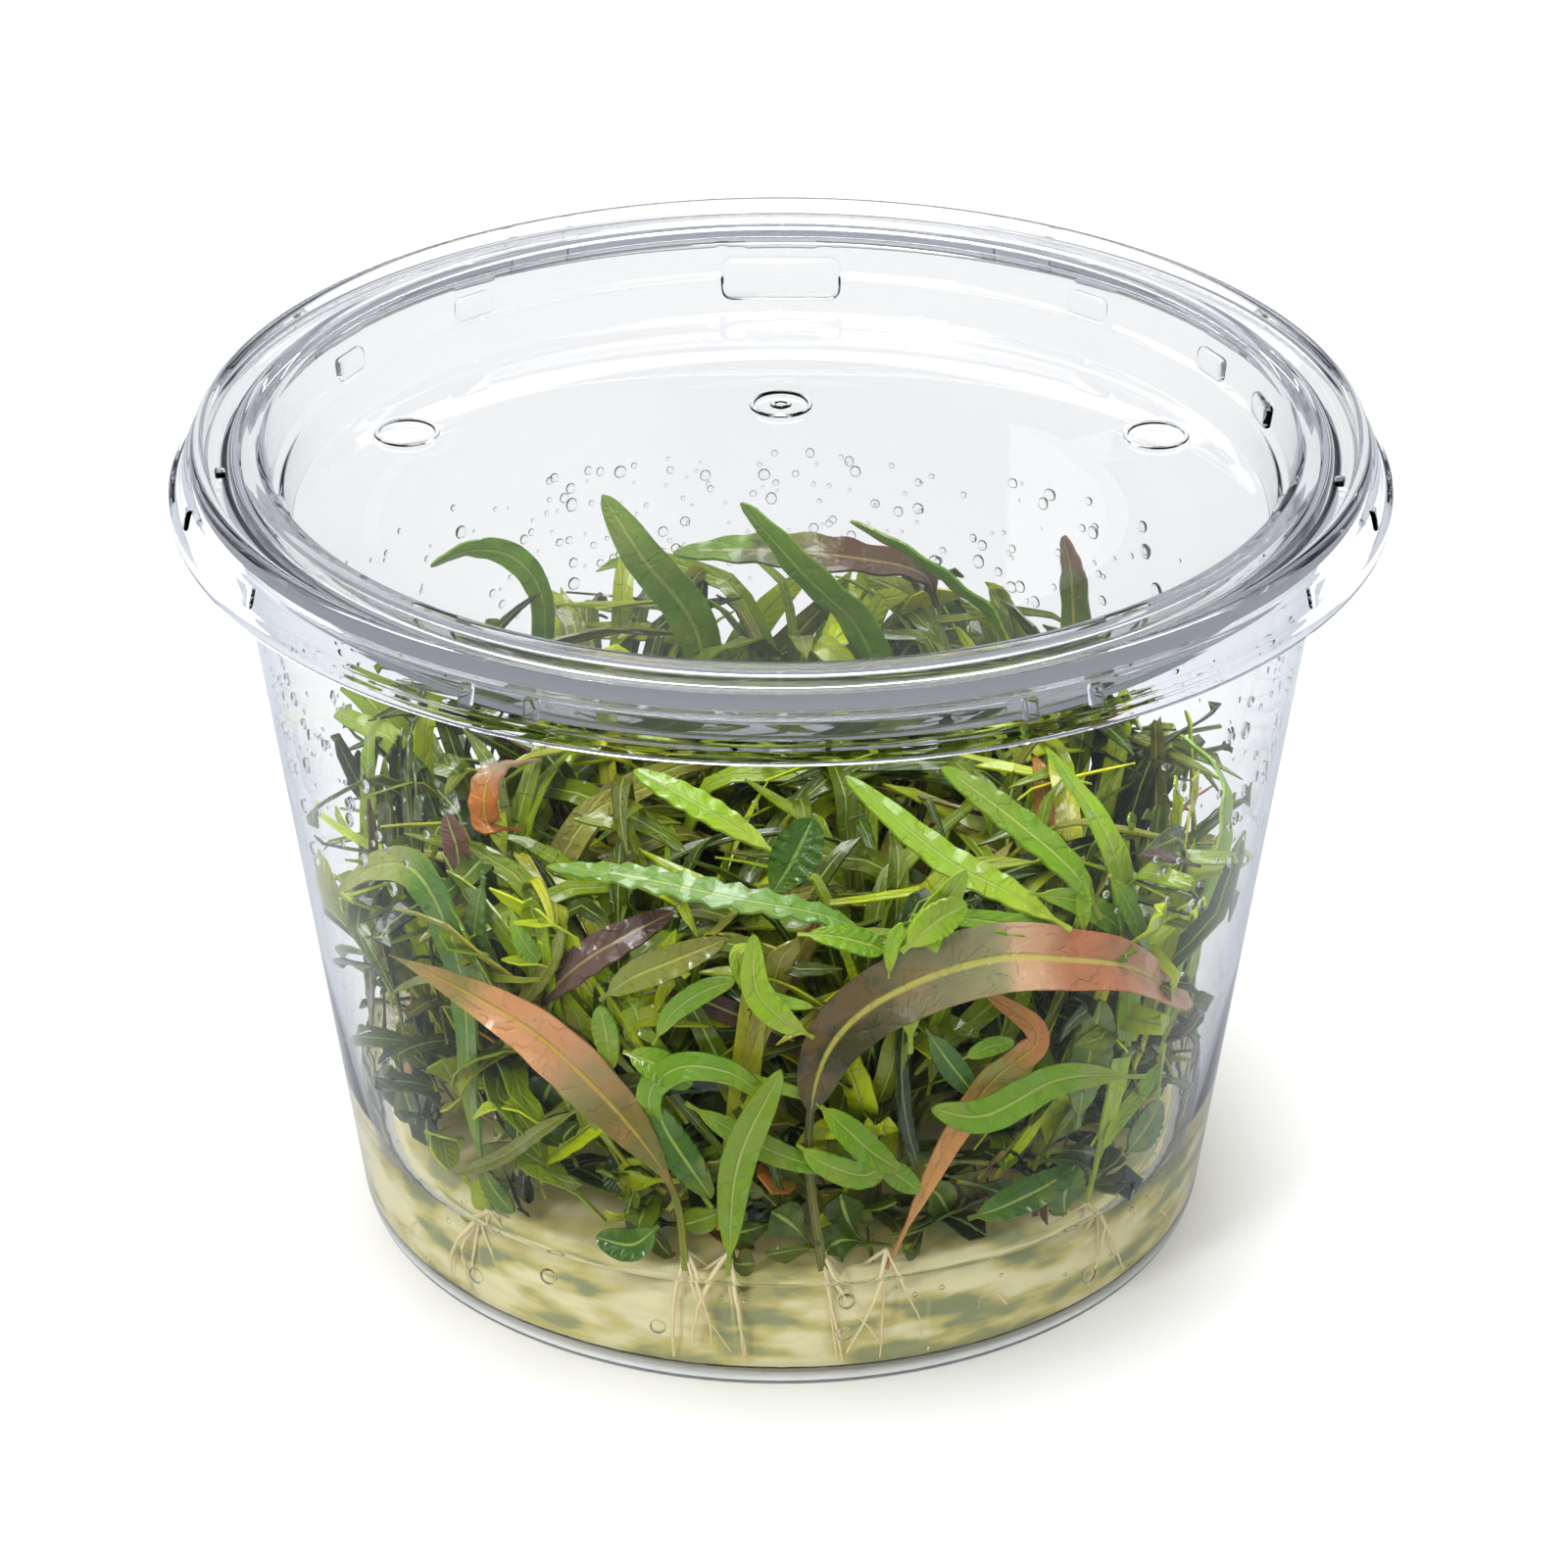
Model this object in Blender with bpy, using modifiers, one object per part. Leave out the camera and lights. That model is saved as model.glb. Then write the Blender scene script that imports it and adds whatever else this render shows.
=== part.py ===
"""A clear lidded cup of narrow-leaved water plants, grown in pale jelly by tissue culture.

The axis of the cup is Z, its base stands on z = 0 and its front faces -Y. Sizes are in metres.
"""

import math

import bmesh
import bpy
from mathutils import Matrix, Vector

MM = 0.001
GAP = 0.3 * MM

# Cup: outer wall radius = WALL_FOOT_R + WALL_DRAFT * z
WALL_FOOT_R = 42.1 * MM
WALL_DRAFT = 0.1394
WALL = 0.8 * MM
FLOOR = 1.6 * MM
FOOT_R = 41.3 * MM
FLANGE_TOP = 80.2 * MM
FLANGE = 0.8 * MM
LIP_R = 58.5 * MM
LIP_BOTTOM = 76.2 * MM

# Lid
LID_TOP = 82.4 * MM
LID_RIM_R = 56.25 * MM
PANEL_TOP = 73.3 * MM
PANEL_R = 46.6 * MM
PANEL = 0.7 * MM

# Small ribs on the collar's skirt, in degrees from the front, repeated at the back
RIB_ANGLES = (22.5, 29.0, 57.7, 75.5)
RIB_SIZE = Vector((1.6, 1.1, 2.3)) * MM
RIB_PLACE = {"radius": 57.15 * MM, "height": 78.95 * MM, "lean": 12.0}

# Stacking lugs on the lid's inner wall, in degrees from the back, repeated at the front
LUG_ANGLES = (40.0, 62.0, 76.0)
LUG_SIZE = Vector((4.6, 1.6, 2.6)) * MM
LUG_PLACE = {"radius": 48.35 * MM, "height": 78.2 * MM}
TAB_SIZE = Vector((12.4, 2.2, 4.6)) * MM
TAB_PLACE = {"radius": 47.9 * MM, "height": 76.6 * MM}
BLOCK_ROUNDING = 0.3  # bevel of a rib, lug or tab, as a share of its smaller face size

# Jelly
GEL_TOP = 11.5 * MM
POCKET_R = 1.7 * MM
POCKET_DEPTH = 4.0 * MM

# Plantlets, in two rings
STEM_R = 1.1 * MM
STEM_TOP = 24.0 * MM
RINGS = (
    {"count": 5, "radius": 14.5 * MM, "first": 20.0},
    {"count": 9, "radius": 30.5 * MM, "first": 6.0},
)
LEAF_PAIRS = 3
LEAF_SPREAD = 7.6 * MM
LEAF_TOP = 43.5 * MM
LEAF_WIDTH = 5.0 * MM

ROUND_STEPS = 48
BLADE_KEEL = 0.12  # depth of the midrib under the blade, as a share of the blade's width

# Single leaves that show one by one. A route runs from foot to tip, it and the greatest width are in
# millimetres, and face_up is how far the blade's face is turned from outwards (0) to upwards (1).
SINGLE_LEAVES = {
    "leaf_bronze_arch": {
        "route": [
            (4, -39.5, 12), (3, -40.2, 31), (7, -42, 43), (14, -41.2, 47), (23, -37, 47),
            (31, -31, 42), (40, -18, 28),
        ],
        "width": 5.8,
        "face_up": 0.35,
    },
    "leaf_orange_left": {
        "route": [
            (-9, -39.5, 12), (-12, -41, 24), (-16, -40.3, 33), (-22, -37.8, 37),
            (-28, -33.8, 39), (-39, -22, 37),
        ],
        "width": 5.2,
        "face_up": 0.3,
    },
    "leaf_ragged_top": {
        "route": [
            (9, -37, 46.5), (4, -37.5, 49.5), (-5, -36.5, 51), (-14, -32.5, 51), (-22, -27, 49),
        ],
        "width": 3.4,
        "face_up": 0.8,
    },
    "leaf_orange_bent": {
        "route": [
            (10, -39.3, 12), (15, -38.8, 24), (19.2, -37.2, 31), (24, -34.8, 35),
            (19, -36.6, 41),
        ],
        "width": 2.8,
        "face_up": 0.3,
    },
    "leaf_green_right_front": {
        "route": [
            (34.6, -27, 26), (26.2, -35, 30.5), (19, -39.9, 29.5), (14, -41.3, 31),
        ],
        "width": 4.0,
        "face_up": 0.3,
    },
    "leaf_serrated_front": {
        "route": [
            (-5, -40.3, 12), (-4, -43, 26), (0, -44.3, 37),
        ],
        "width": 4.2,
        "face_up": 0.2,
    },
    "leaf_curled_front": {
        "route": [
            (-6.5, -39.5, 19), (-11, -39.1, 26), (-12.2, -39.3, 31.5), (-9.2, -40.3, 35),
            (-4.5, -41.2, 34.8), (-1, -41.8, 32),
        ],
        "width": 2.8,
        "face_up": 0.3,
    },
    "leaf_upright_left": {
        "route": [
            (-28, -28.8, 12), (-29.5, -28.8, 25), (-30, -28.7, 38), (-33.5, -26, 47),
            (-38, -19.5, 45), (-43, -12.5, 38),
        ],
        "width": 3.8,
        "face_up": 0.35,
    },
    "leaf_purple_brown": {
        "route": [
            (-23, -33, 37), (-18, -36, 44), (-10, -33, 47.5),
        ],
        "width": 3.6,
        "face_up": 0.5,
    },
    "leaf_tall_back_left": {
        "route": [
            (-7, 25, 12), (-8, 26, 30), (-8.5, 26, 46), (-14, 24, 56), (-18, 26, 62),
        ],
        "width": 4.6,
        "face_up": 0.4,
    },
    "leaf_tall_centre": {
        "route": [
            (10, 22, 12), (10, 22, 30), (9, 21, 47), (2, 19, 57), (-4, 22, 63),
        ],
        "width": 4.6,
        "face_up": 0.4,
    },
    "leaf_tall_right": {
        "route": [
            (23, 11, 12), (24, 12, 38), (22.5, 19, 49), (15, 21, 56), (7, 24, 60),
        ],
        "width": 4.6,
        "face_up": 0.5,
    },
    "leaf_back_level": {
        "route": [
            (16, 29, 48), (14, 28.5, 52), (6, 26, 55), (-3, 27.5, 55), (-11, 31, 53),
        ],
        "width": 3.6,
        "face_up": 0.7,
    },
    "leaf_arch_back_left": {
        "route": [
            (-24, 32, 12), (-24, 32.5, 33), (-24.5, 31.5, 47), (-27.2, 30.6, 52.6),
            (-31.5, 30.2, 53.8), (-35.5, 30.4, 52),
        ],
        "width": 2.8,
        "face_up": 0.15,
    },
    "leaf_red_tip_right": {
        "route": [
            (27, 30.5, 12), (29, 32, 35), (30, 33, 48), (29, 31, 55),
        ],
        "width": 3.4,
        "face_up": 0.2,
    },
    "leaf_rim_right": {
        "route": [
            (29.5, -27.5, 12), (32, -26, 25), (33, -25, 37), (31, -25, 50), (25, -17, 57),
        ],
        "width": 3.6,
        "face_up": 0.4,
    },
    "leaf_rim_middle": {
        "route": [
            (30, -29, 44.5), (27, -29.5, 50), (21, -26.5, 54.5), (15, -23, 58),
        ],
        "width": 3.6,
        "face_up": 0.5,
    },
    "leaf_rim_front": {
        "route": [
            (27, -33, 45.5), (21, -32, 49), (15, -29.5, 51.5), (6, -23, 57),
        ],
        "width": 3.6,
        "face_up": 0.6,
    },
    "leaf_rim_left": {
        "route": [
            (0, -21, 47), (-7, -18, 50.5), (-14, -14, 53),
        ],
        "width": 3.4,
        "face_up": 0.8,
    },
    "leaf_light_spoon": {
        "route": [
            (12, -39.5, 36), (12.3, -39, 46), (17, -36.5, 54),
        ],
        "width": 3.6,
        "face_up": 0.3,
    },
    "leaf_small_curl": {
        "route": [
            (3, -41.7, 39), (0, -42.5, 41.5), (-2.3, -42.7, 45), (-2.5, -40.8, 49.5),
        ],
        "width": 2.8,
        "face_up": 0.4,
    },
    "leaf_thin_brown": {
        "route": [
            (40, -18, 44), (36.5, -23.5, 48), (33.5, -27.5, 50.5),
        ],
        "width": 1.6,
        "face_up": 0.7,
    },
    "leaf_curled_orange": {
        "route": [
            (-25, -13, 45.5), (-28, -15, 47.5), (-27.5, -12, 51.5), (-23, -7, 50.5),
        ],
        "width": 3.6,
        "face_up": 0.6,
    },
    "leaf_right_edge": {
        "route": [
            (36.5, -17, 12), (38, -15.5, 30), (42, -12, 40), (43, -6, 46.5), (39, 1, 49),
        ],
        "width": 3.0,
        "face_up": 0.3,
    },
    "leaf_dark_wet": {
        "route": [
            (-1, -30, 47.5), (1, -29.5, 51), (3, -28, 55),
        ],
        "width": 4.6,
        "face_up": 0.5,
    },
}

LEAF_COLOURS = {
    "bronze": (0.16, 0.07, 0.02),
    "orange": (0.42, 0.14, 0.03),
    "brown": (0.10, 0.04, 0.02),
    "red": (0.25, 0.07, 0.03),
    "dark": (0.02, 0.08, 0.02),
    "light": (0.22, 0.42, 0.04),
    "green": (0.07, 0.24, 0.02),
}


def wall_outer(z):
    return WALL_FOOT_R + WALL_DRAFT * z


def wall_inner(z):
    return wall_outer(z) - WALL


def clear_scene():
    for obj in list(bpy.data.objects):
        bpy.data.objects.remove(obj, do_unlink=True)


def new_collection(name, parent=None):
    collection = bpy.data.collections.new(name)
    (parent or bpy.context.scene.collection).children.link(collection)
    return collection


def new_material(name, colour, roughness, transmission=0.0, ior=1.45):
    material = bpy.data.materials.new(name)
    material.use_nodes = True
    shader = material.node_tree.nodes["Principled BSDF"]
    shader.inputs["Base Color"].default_value = (*colour, 1.0)
    shader.inputs["Roughness"].default_value = roughness
    shader.inputs["Metallic"].default_value = 0.0
    shader.inputs["Transmission Weight"].default_value = transmission
    shader.inputs["IOR"].default_value = ior
    return material


def add_object(name, mesh, collection, material=None):
    obj = bpy.data.objects.new(name, mesh)
    collection.objects.link(obj)
    if material:
        mesh.materials.append(material)
    return obj


def mesh_from(name, bm):
    mesh = bpy.data.meshes.new(name)
    bm.to_mesh(mesh)
    bm.free()
    return mesh


def turned(name, profile, collection, material):
    """A profile of (radius, height) points that starts and ends on the axis, turned about Z."""
    bm = bmesh.new()
    verts = [bm.verts.new((radius, 0.0, height)) for radius, height in profile]
    for start, end in zip(verts, verts[1:]):
        bm.edges.new((start, end))
    obj = add_object(name, mesh_from(name, bm), collection, material)
    screw = obj.modifiers.new("Turn", "SCREW")
    screw.axis = "Z"
    screw.steps = ROUND_STEPS
    screw.render_steps = ROUND_STEPS
    screw.use_merge_vertices = True
    screw.merge_threshold = 1e-5
    return obj


def cup_profile():
    """From the middle of the floor up the inside, over the collar and down the outside."""
    flange_bottom = FLANGE_TOP - FLANGE
    return [
        (0.0, FLOOR),
        (40.4 * MM, FLOOR),
        (41.3 * MM, 2.2 * MM),
        (wall_inner(3.4 * MM), 3.4 * MM),
        (wall_inner(79.7 * MM), 79.7 * MM),
        (52.9 * MM, FLANGE_TOP),
        (56.7 * MM, FLANGE_TOP),
        (57.1 * MM, 79.8 * MM),
        (57.5 * MM, 78.1 * MM),
        (58.1 * MM, 77.9 * MM),
        (LIP_R, 77.4 * MM),
        (LIP_R, LIP_BOTTOM),
        (57.8 * MM, LIP_BOTTOM),
        (57.6 * MM, 77.1 * MM),
        (56.8 * MM, 77.5 * MM),
        (56.3 * MM, flange_bottom),
        (wall_outer(flange_bottom), flange_bottom),
        (wall_outer(1.7 * MM), 1.7 * MM),
        (42.0 * MM, 0.6 * MM),
        (FOOT_R, 0.0),
        (0.0, 0.0),
    ]


def lid_profile():
    """Over the top from the middle of the panel to the rim, then back along the underside."""
    seat = FLANGE_TOP + GAP
    panel_bottom = PANEL_TOP - PANEL
    over_top = [
        (0.0, PANEL_TOP),
        (PANEL_R, PANEL_TOP),
        (46.9 * MM, 73.6 * MM),
        (47.5 * MM, 77.0 * MM),
        (48.5 * MM, 77.3 * MM),
        (49.2 * MM, 81.5 * MM),
        (49.8 * MM, 82.1 * MM),
        (50.7 * MM, 82.3 * MM),
        (51.6 * MM, 82.1 * MM),
        (52.2 * MM, 81.4 * MM),
        (52.6 * MM, 81.15 * MM),
        (54.6 * MM, 81.15 * MM),
        (55.0 * MM, 82.1 * MM),
        (55.5 * MM, LID_TOP),
        (56.0 * MM, 82.25 * MM),
        (LID_RIM_R, 81.7 * MM),
        (56.35 * MM, seat),
    ]
    underside = [
        (52.1 * MM, seat),
        (51.95 * MM, 79.0 * MM),
        (51.45 * MM, 79.0 * MM),
        (51.3 * MM, 81.2 * MM),
        (50.1 * MM, 81.2 * MM),
        (49.2 * MM, 76.7 * MM),
        (48.1 * MM, 76.4 * MM),
        (47.4 * MM, panel_bottom),
        (0.0, panel_bottom),
    ]
    return over_top + underside


def place_block(bm, size, degrees_from_front, radius, height, lean=0.0):
    """A block whose local Y points away from the axis, set on the wall at that angle."""
    block = bmesh.ops.create_cube(bm, size=1.0)["verts"]
    bmesh.ops.scale(bm, vec=size, verts=block)
    outward_edges = {edge for vert in block for edge in vert.link_edges if runs_along_y(edge)}
    round_off = BLOCK_ROUNDING * min(size.x, size.z)
    bevelled = bmesh.ops.bevel(bm, geom=list(outward_edges), offset=round_off, segments=1, affect="EDGES")
    verts = list(set(bevelled["verts"]) | {vert for vert in block if vert.is_valid})
    bmesh.ops.rotate(bm, verts=verts, cent=(0, 0, 0), matrix=rotation(lean, "X"))
    bmesh.ops.translate(bm, verts=verts, vec=(0.0, radius, height))
    bmesh.ops.rotate(bm, verts=verts, cent=(0, 0, 0), matrix=rotation(180.0 + degrees_from_front, "Z"))


def runs_along_y(edge):
    start, end = (vert.co for vert in edge.verts)
    return abs(start.y - end.y) > abs(start.x - end.x) + abs(start.z - end.z)


def rotation(degrees, axis):
    return Matrix.Rotation(math.radians(degrees), 3, axis)


def all_round(angles):
    """Each angle on both sides of the front and again on both sides of the back."""
    return [side + sign * angle for side in (0.0, 180.0) for angle in angles for sign in (-1, 1)]


def join_shape(obj, helper, operation="UNION"):
    helper.hide_render = True
    helper.display_type = "WIRE"
    boolean = obj.modifiers.new(operation.title(), "BOOLEAN")
    boolean.operation = operation
    boolean.solver = "EXACT"
    boolean.object = helper


def build_cup(parts, helpers):
    material = new_material("cup_plastic", (0.94, 0.96, 0.98), 0.04, transmission=1.0, ior=1.49)
    cup = turned("cup", cup_profile(), parts, material)
    bm = bmesh.new()
    for angle in all_round(RIB_ANGLES):
        place_block(bm, RIB_SIZE, angle, **RIB_PLACE)
    join_shape(cup, add_object("cup_rib_shapes", mesh_from("cup_rib_shapes", bm), helpers))


def build_lid(parts, helpers):
    material = new_material("lid_plastic", (0.94, 0.96, 0.98), 0.03, transmission=1.0, ior=1.49)
    lid = turned("lid", lid_profile(), parts, material)
    bm = bmesh.new()
    for angle in all_round(LUG_ANGLES):
        place_block(bm, LUG_SIZE, angle, **LUG_PLACE)
    place_block(bm, TAB_SIZE, 180.0, **TAB_PLACE)
    join_shape(lid, add_object("lid_lug_shapes", mesh_from("lid_lug_shapes", bm), helpers))


def crowns():
    """Where each plantlet stands, ring by ring."""
    for ring in RINGS:
        for index in range(ring["count"]):
            angle = math.radians(ring["first"] + 360.0 * index / ring["count"])
            yield Vector((ring["radius"] * math.cos(angle), ring["radius"] * math.sin(angle), 0.0))


def build_gel(parts, helpers):
    material = new_material("agar_gel", (0.86, 0.82, 0.58), 0.08, transmission=0.9, ior=1.34)
    gap_in = GAP * 1.2
    profile = [
        (0.0, GEL_TOP),
        (wall_inner(GEL_TOP) - 2.2 * MM, GEL_TOP),
        (wall_inner(12.1 * MM) - gap_in, 12.1 * MM),
        (wall_inner(3.6 * MM) - gap_in, 3.6 * MM),
        (40.9 * MM, 2.5 * MM),
        (40.1 * MM, FLOOR + GAP),
        (0.0, FLOOR + GAP),
    ]
    gel = turned("agar_gel", profile, parts, material)
    bm = bmesh.new()
    for crown in crowns():
        cone = bmesh.ops.create_cone(
            bm, cap_ends=True, segments=6, radius1=POCKET_R, radius2=POCKET_R, depth=2 * POCKET_DEPTH
        )
        bmesh.ops.translate(bm, verts=cone["verts"], vec=crown + Vector((0.0, 0.0, GEL_TOP)))
    join_shape(gel, add_object("gel_pockets", mesh_from("gel_pockets", bm), helpers), "DIFFERENCE")


def smooth_route(route, count):
    """Points along a curve that passes through every point of the route."""
    route = [Vector(point) for point in route]
    ends = [2 * route[0] - route[1]] + route + [2 * route[-1] - route[-2]]
    points = []
    for step in range(count):
        along = step * (len(route) - 1) / (count - 1)
        index = min(int(along), len(route) - 2)
        a, b, c, d = ends[index : index + 4]
        t = along - index
        points.append(
            0.5 * (2 * b + (c - a) * t + (2 * a - 5 * b + 4 * c - d) * t**2 + (3 * b - a - 3 * c + d) * t**3)
        )
    return points


def blade_width(share):
    """Width at this share of the way from foot to tip, as a share of the greatest width."""
    return max(0.1, 0.24 * (1.0 - share) + math.sin(math.pi * share**0.8) ** 1.2)


def fill_gap(bm, a, b, c, d):
    """Two triangles between four corners, cut along the shorter diagonal so that a twisted blade stays open."""
    if (a.co - c.co).length < (b.co - d.co).length:
        bm.faces.new((a, b, c))
        bm.faces.new((a, c, d))
    else:
        bm.faces.new((a, b, d))
        bm.faces.new((b, c, d))


def add_blade(bm, points, width, face_up):
    """A leaf blade: keeled sections that turn and taper along the points, so its faces are made here."""
    sections = []
    last_side = Vector((0.0, 0.0, 0.0))
    for index, point in enumerate(points):
        ahead = points[min(index + 1, len(points) - 1)]
        behind = points[max(index - 1, 0)]
        tangent = (ahead - behind).normalized()
        outward = Vector((point.x, point.y, 0.0)).normalized()
        facing = outward * (1.0 - face_up) + Vector((0.0, 0.0, face_up))
        side = tangent.cross(facing).normalized()
        if side.dot(last_side) < 0.0:
            side.negate()
        last_side = side
        normal = side.cross(tangent).normalized()
        half = 0.5 * width * blade_width(index / (len(points) - 1))
        corners = (side * half, side * -half, normal * -2.0 * half * BLADE_KEEL)
        sections.append([bm.verts.new(point + corner) for corner in corners])
    for first, second in zip(sections, sections[1:]):
        for corner in range(3):
            after = (corner + 1) % 3
            fill_gap(bm, first[corner], first[after], second[after], second[corner])
    bm.faces.new(sections[0])
    bm.faces.new(sections[-1][::-1])
    bmesh.ops.recalc_face_normals(bm, faces=bm.faces)


def leaf_colour(name):
    return next((LEAF_COLOURS[word] for word in LEAF_COLOURS if word in name), LEAF_COLOURS["green"])


def build_single_leaves(parts):
    for name, leaf in SINGLE_LEAVES.items():
        bm = bmesh.new()
        points = smooth_route([Vector(point) * MM for point in leaf["route"]], len(leaf["route"]) + 3)
        add_blade(bm, points, leaf["width"] * MM, leaf["face_up"])
        add_object(name, mesh_from(name, bm), parts, new_material(name, leaf_colour(name), 0.35))


def build_plantlet(number, crown, parts, helpers):
    """A short stem that stands in the jelly, with pairs of leaves, each pair turned from the last."""
    name = f"plantlet_{number:02d}"
    foot = GEL_TOP - POCKET_DEPTH + GAP
    bm = bmesh.new()
    stem = bmesh.ops.create_cone(
        bm, cap_ends=True, segments=5, radius1=STEM_R, radius2=0.7 * STEM_R, depth=STEM_TOP - foot
    )
    bmesh.ops.translate(bm, verts=stem["verts"], vec=crown + Vector((0.0, 0.0, 0.5 * (foot + STEM_TOP))))
    plantlet = add_object(name, mesh_from(name, bm), parts, new_material(name, LEAF_COLOURS["green"], 0.35))
    leaves = new_collection(f"{name}_leaf_shapes", helpers)
    leaves.hide_render = True
    for index in range(2 * LEAF_PAIRS):
        pair, other = divmod(index, 2)
        angle = math.radians(31.0 * number + 64.0 * pair + 178.0 * other)
        out = Vector((math.cos(angle), math.sin(angle), 0.0))
        start = (15.0 + 3.2 * pair + 0.7 * other) * MM
        tip = LEAF_TOP - (4.5 * (LEAF_PAIRS - 1 - pair) + 1.3 * ((number + index) % 3)) * MM
        route = [
            crown - out * 0.2 * MM + Vector((0.0, 0.0, start)),
            crown + out * 0.42 * LEAF_SPREAD + Vector((0.0, 0.0, start + 0.33 * (tip - start))),
            crown + out * 0.78 * LEAF_SPREAD + Vector((0.0, 0.0, start + 0.7 * (tip - start))),
            crown + out * LEAF_SPREAD + Vector((0.0, 0.0, tip)),
        ]
        bm = bmesh.new()
        add_blade(bm, route, LEAF_WIDTH, 1.0)
        leaf = add_object(f"{name}_leaf_{index + 1}", mesh_from(f"{name}_leaf_{index + 1}", bm), leaves)
        leaf.hide_render = True
        leaf.display_type = "WIRE"
    boolean = plantlet.modifiers.new("Leaves", "BOOLEAN")
    boolean.operation = "UNION"
    boolean.solver = "EXACT"
    boolean.operand_type = "COLLECTION"
    boolean.collection = leaves


def main():
    clear_scene()
    parts = new_collection("tissue_culture_hygrophila")
    helpers = new_collection("helper_shapes")
    build_cup(parts, helpers)
    build_lid(parts, helpers)
    build_gel(parts, helpers)
    for number, crown in enumerate(crowns(), start=1):
        build_plantlet(number, crown, parts, helpers)
    build_single_leaves(parts)


main()
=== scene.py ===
"""Looks of a clear lidded cup of narrow-leaved water plants grown in jelly. Metres, +Z up, front at -Y."""

import math
import random

import bmesh
import bpy
import numpy as np
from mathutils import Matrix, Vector


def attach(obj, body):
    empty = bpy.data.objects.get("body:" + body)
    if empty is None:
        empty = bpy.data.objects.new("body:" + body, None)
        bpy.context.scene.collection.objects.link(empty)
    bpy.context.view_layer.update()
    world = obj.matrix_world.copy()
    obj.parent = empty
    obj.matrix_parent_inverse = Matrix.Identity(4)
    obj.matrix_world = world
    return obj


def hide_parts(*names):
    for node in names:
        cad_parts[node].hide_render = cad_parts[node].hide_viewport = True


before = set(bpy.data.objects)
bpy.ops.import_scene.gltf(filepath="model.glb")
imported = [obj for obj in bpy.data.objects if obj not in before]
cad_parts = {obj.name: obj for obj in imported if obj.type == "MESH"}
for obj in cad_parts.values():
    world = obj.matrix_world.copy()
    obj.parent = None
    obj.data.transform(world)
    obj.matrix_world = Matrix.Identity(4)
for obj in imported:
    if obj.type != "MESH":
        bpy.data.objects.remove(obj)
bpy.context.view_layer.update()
MM = 0.001

# Studio. A plain white table in soft light: one wide soft light overhead and one from the front left for the
# glints on wet leaves. Three bright cards on the far wall show in the lid's flat panel and beside it.
TABLE_SIZE, TABLE_TOP = 8.0, -0.1 * MM
SKY_FOOT, SKY_TOP = (0.28, 0.30, 0.34, 1), (0.70, 0.71, 0.73, 1)
SKY_GREYS = ((0.46, 0.30), (0.50, 0.62), (0.56, 0.50), (0.66, 0.50), (0.80, 0.52), (0.92, 0.60))
# Each card's place and reach across the far wall, its softness, lowest height, strength and glow.
CARDS = (
    (0.052, 0.0085, 0.0015, 0.385, 1.0, 1.1),
    (-0.041, 0.013, 0.012, 0.385, 0.4, 1.0),
    (-0.25, 0.5, 0.05, 0.54, 1.0, 7.0),
)
CARD_EDGE = 0.015
CAMERA_PLACE, CAMERA_AIM = (0, -0.51397, 0.31887), (0, 0, 0.04316)

bpy.ops.object.select_all(action="DESELECT")
bpy.ops.mesh.primitive_plane_add(size=TABLE_SIZE, location=(0, 0, TABLE_TOP))
table = bpy.context.object
table.name = "white_table"
bpy.ops.object.transform_apply(location=True, rotation=True, scale=True)


def node(tree, kind, inputs=None, **settings):
    """A new node: its settings, and its inputs as numbers or as the sockets that feed them."""
    made = tree.nodes.new(kind)
    for name, value in settings.items():
        setattr(made, name, value)
    for name, value in (inputs or {}).items():
        if isinstance(value, bpy.types.NodeSocket):
            tree.links.new(value, made.inputs[name])
        else:
            made.inputs[name].default_value = value
    return made


def maths(tree, operation, first, second=0.0, third=0.0):
    made = node(tree, "ShaderNodeMath", {0: first, 1: second, 2: third}, operation=operation)
    return made.outputs[0]


def new_material(name):
    material = bpy.data.materials.new(name)
    material.use_nodes = True
    material.node_tree.nodes.clear()
    return material, material.node_tree


def srgb(red, green, blue):
    """A colour given as 0 to 255 on a screen, as the four linear values that shaders take."""
    shares = [value / 255 for value in (red, green, blue)]
    return tuple(s / 12.92 if s <= 0.04045 else ((s + 0.055) / 1.055) ** 2.4 for s in shares) + (1.0,)


def noise(tree, scale, place=None, **more):
    """Noise in the piece's own coordinates, or in those given."""
    if place is None:
        place = node(tree, "ShaderNodeTexCoord").outputs["Object"]
    return node(tree, "ShaderNodeTexNoise", {"Vector": place, "Scale": scale, **more}).outputs["Fac"]


def spread(tree, value, low, high, to_low=0.0, to_high=1.0, kind="LINEAR"):
    """Maps a value from one range to another and cuts it off at both ends."""
    ranges = {"Value": value, "From Min": low, "From Max": high, "To Min": to_low, "To Max": to_high}
    return node(tree, "ShaderNodeMapRange", ranges, interpolation_type=kind).outputs[0]


def blend(tree, share, first, second, kind="MIX"):
    """Mixes two colours, each given as four numbers or as the socket that feeds it."""
    both = {0: share, "A": first, "B": second}
    return node(tree, "ShaderNodeMix", both, data_type="RGBA", blend_type=kind).outputs["Result"]


def bumps(tree, height, strength, depth):
    """The normal of a surface with this relief, which is up to depth millimetres deep."""
    inputs = {"Height": height, "Strength": strength, "Distance": depth * MM}
    return node(tree, "ShaderNodeBump", inputs).outputs["Normal"]


def mix_shaders(tree, share, first, second):
    return node(tree, "ShaderNodeMixShader", {0: share, 1: first.outputs[0], 2: second.outputs[0]})


def to_surface(tree, shader):
    node(tree, "ShaderNodeOutputMaterial", {"Surface": shader.outputs[0]})


def wear(piece, material):
    """Gives a piece this material and no other."""
    piece.data.materials.clear()
    piece.data.materials.append(material)


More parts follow.
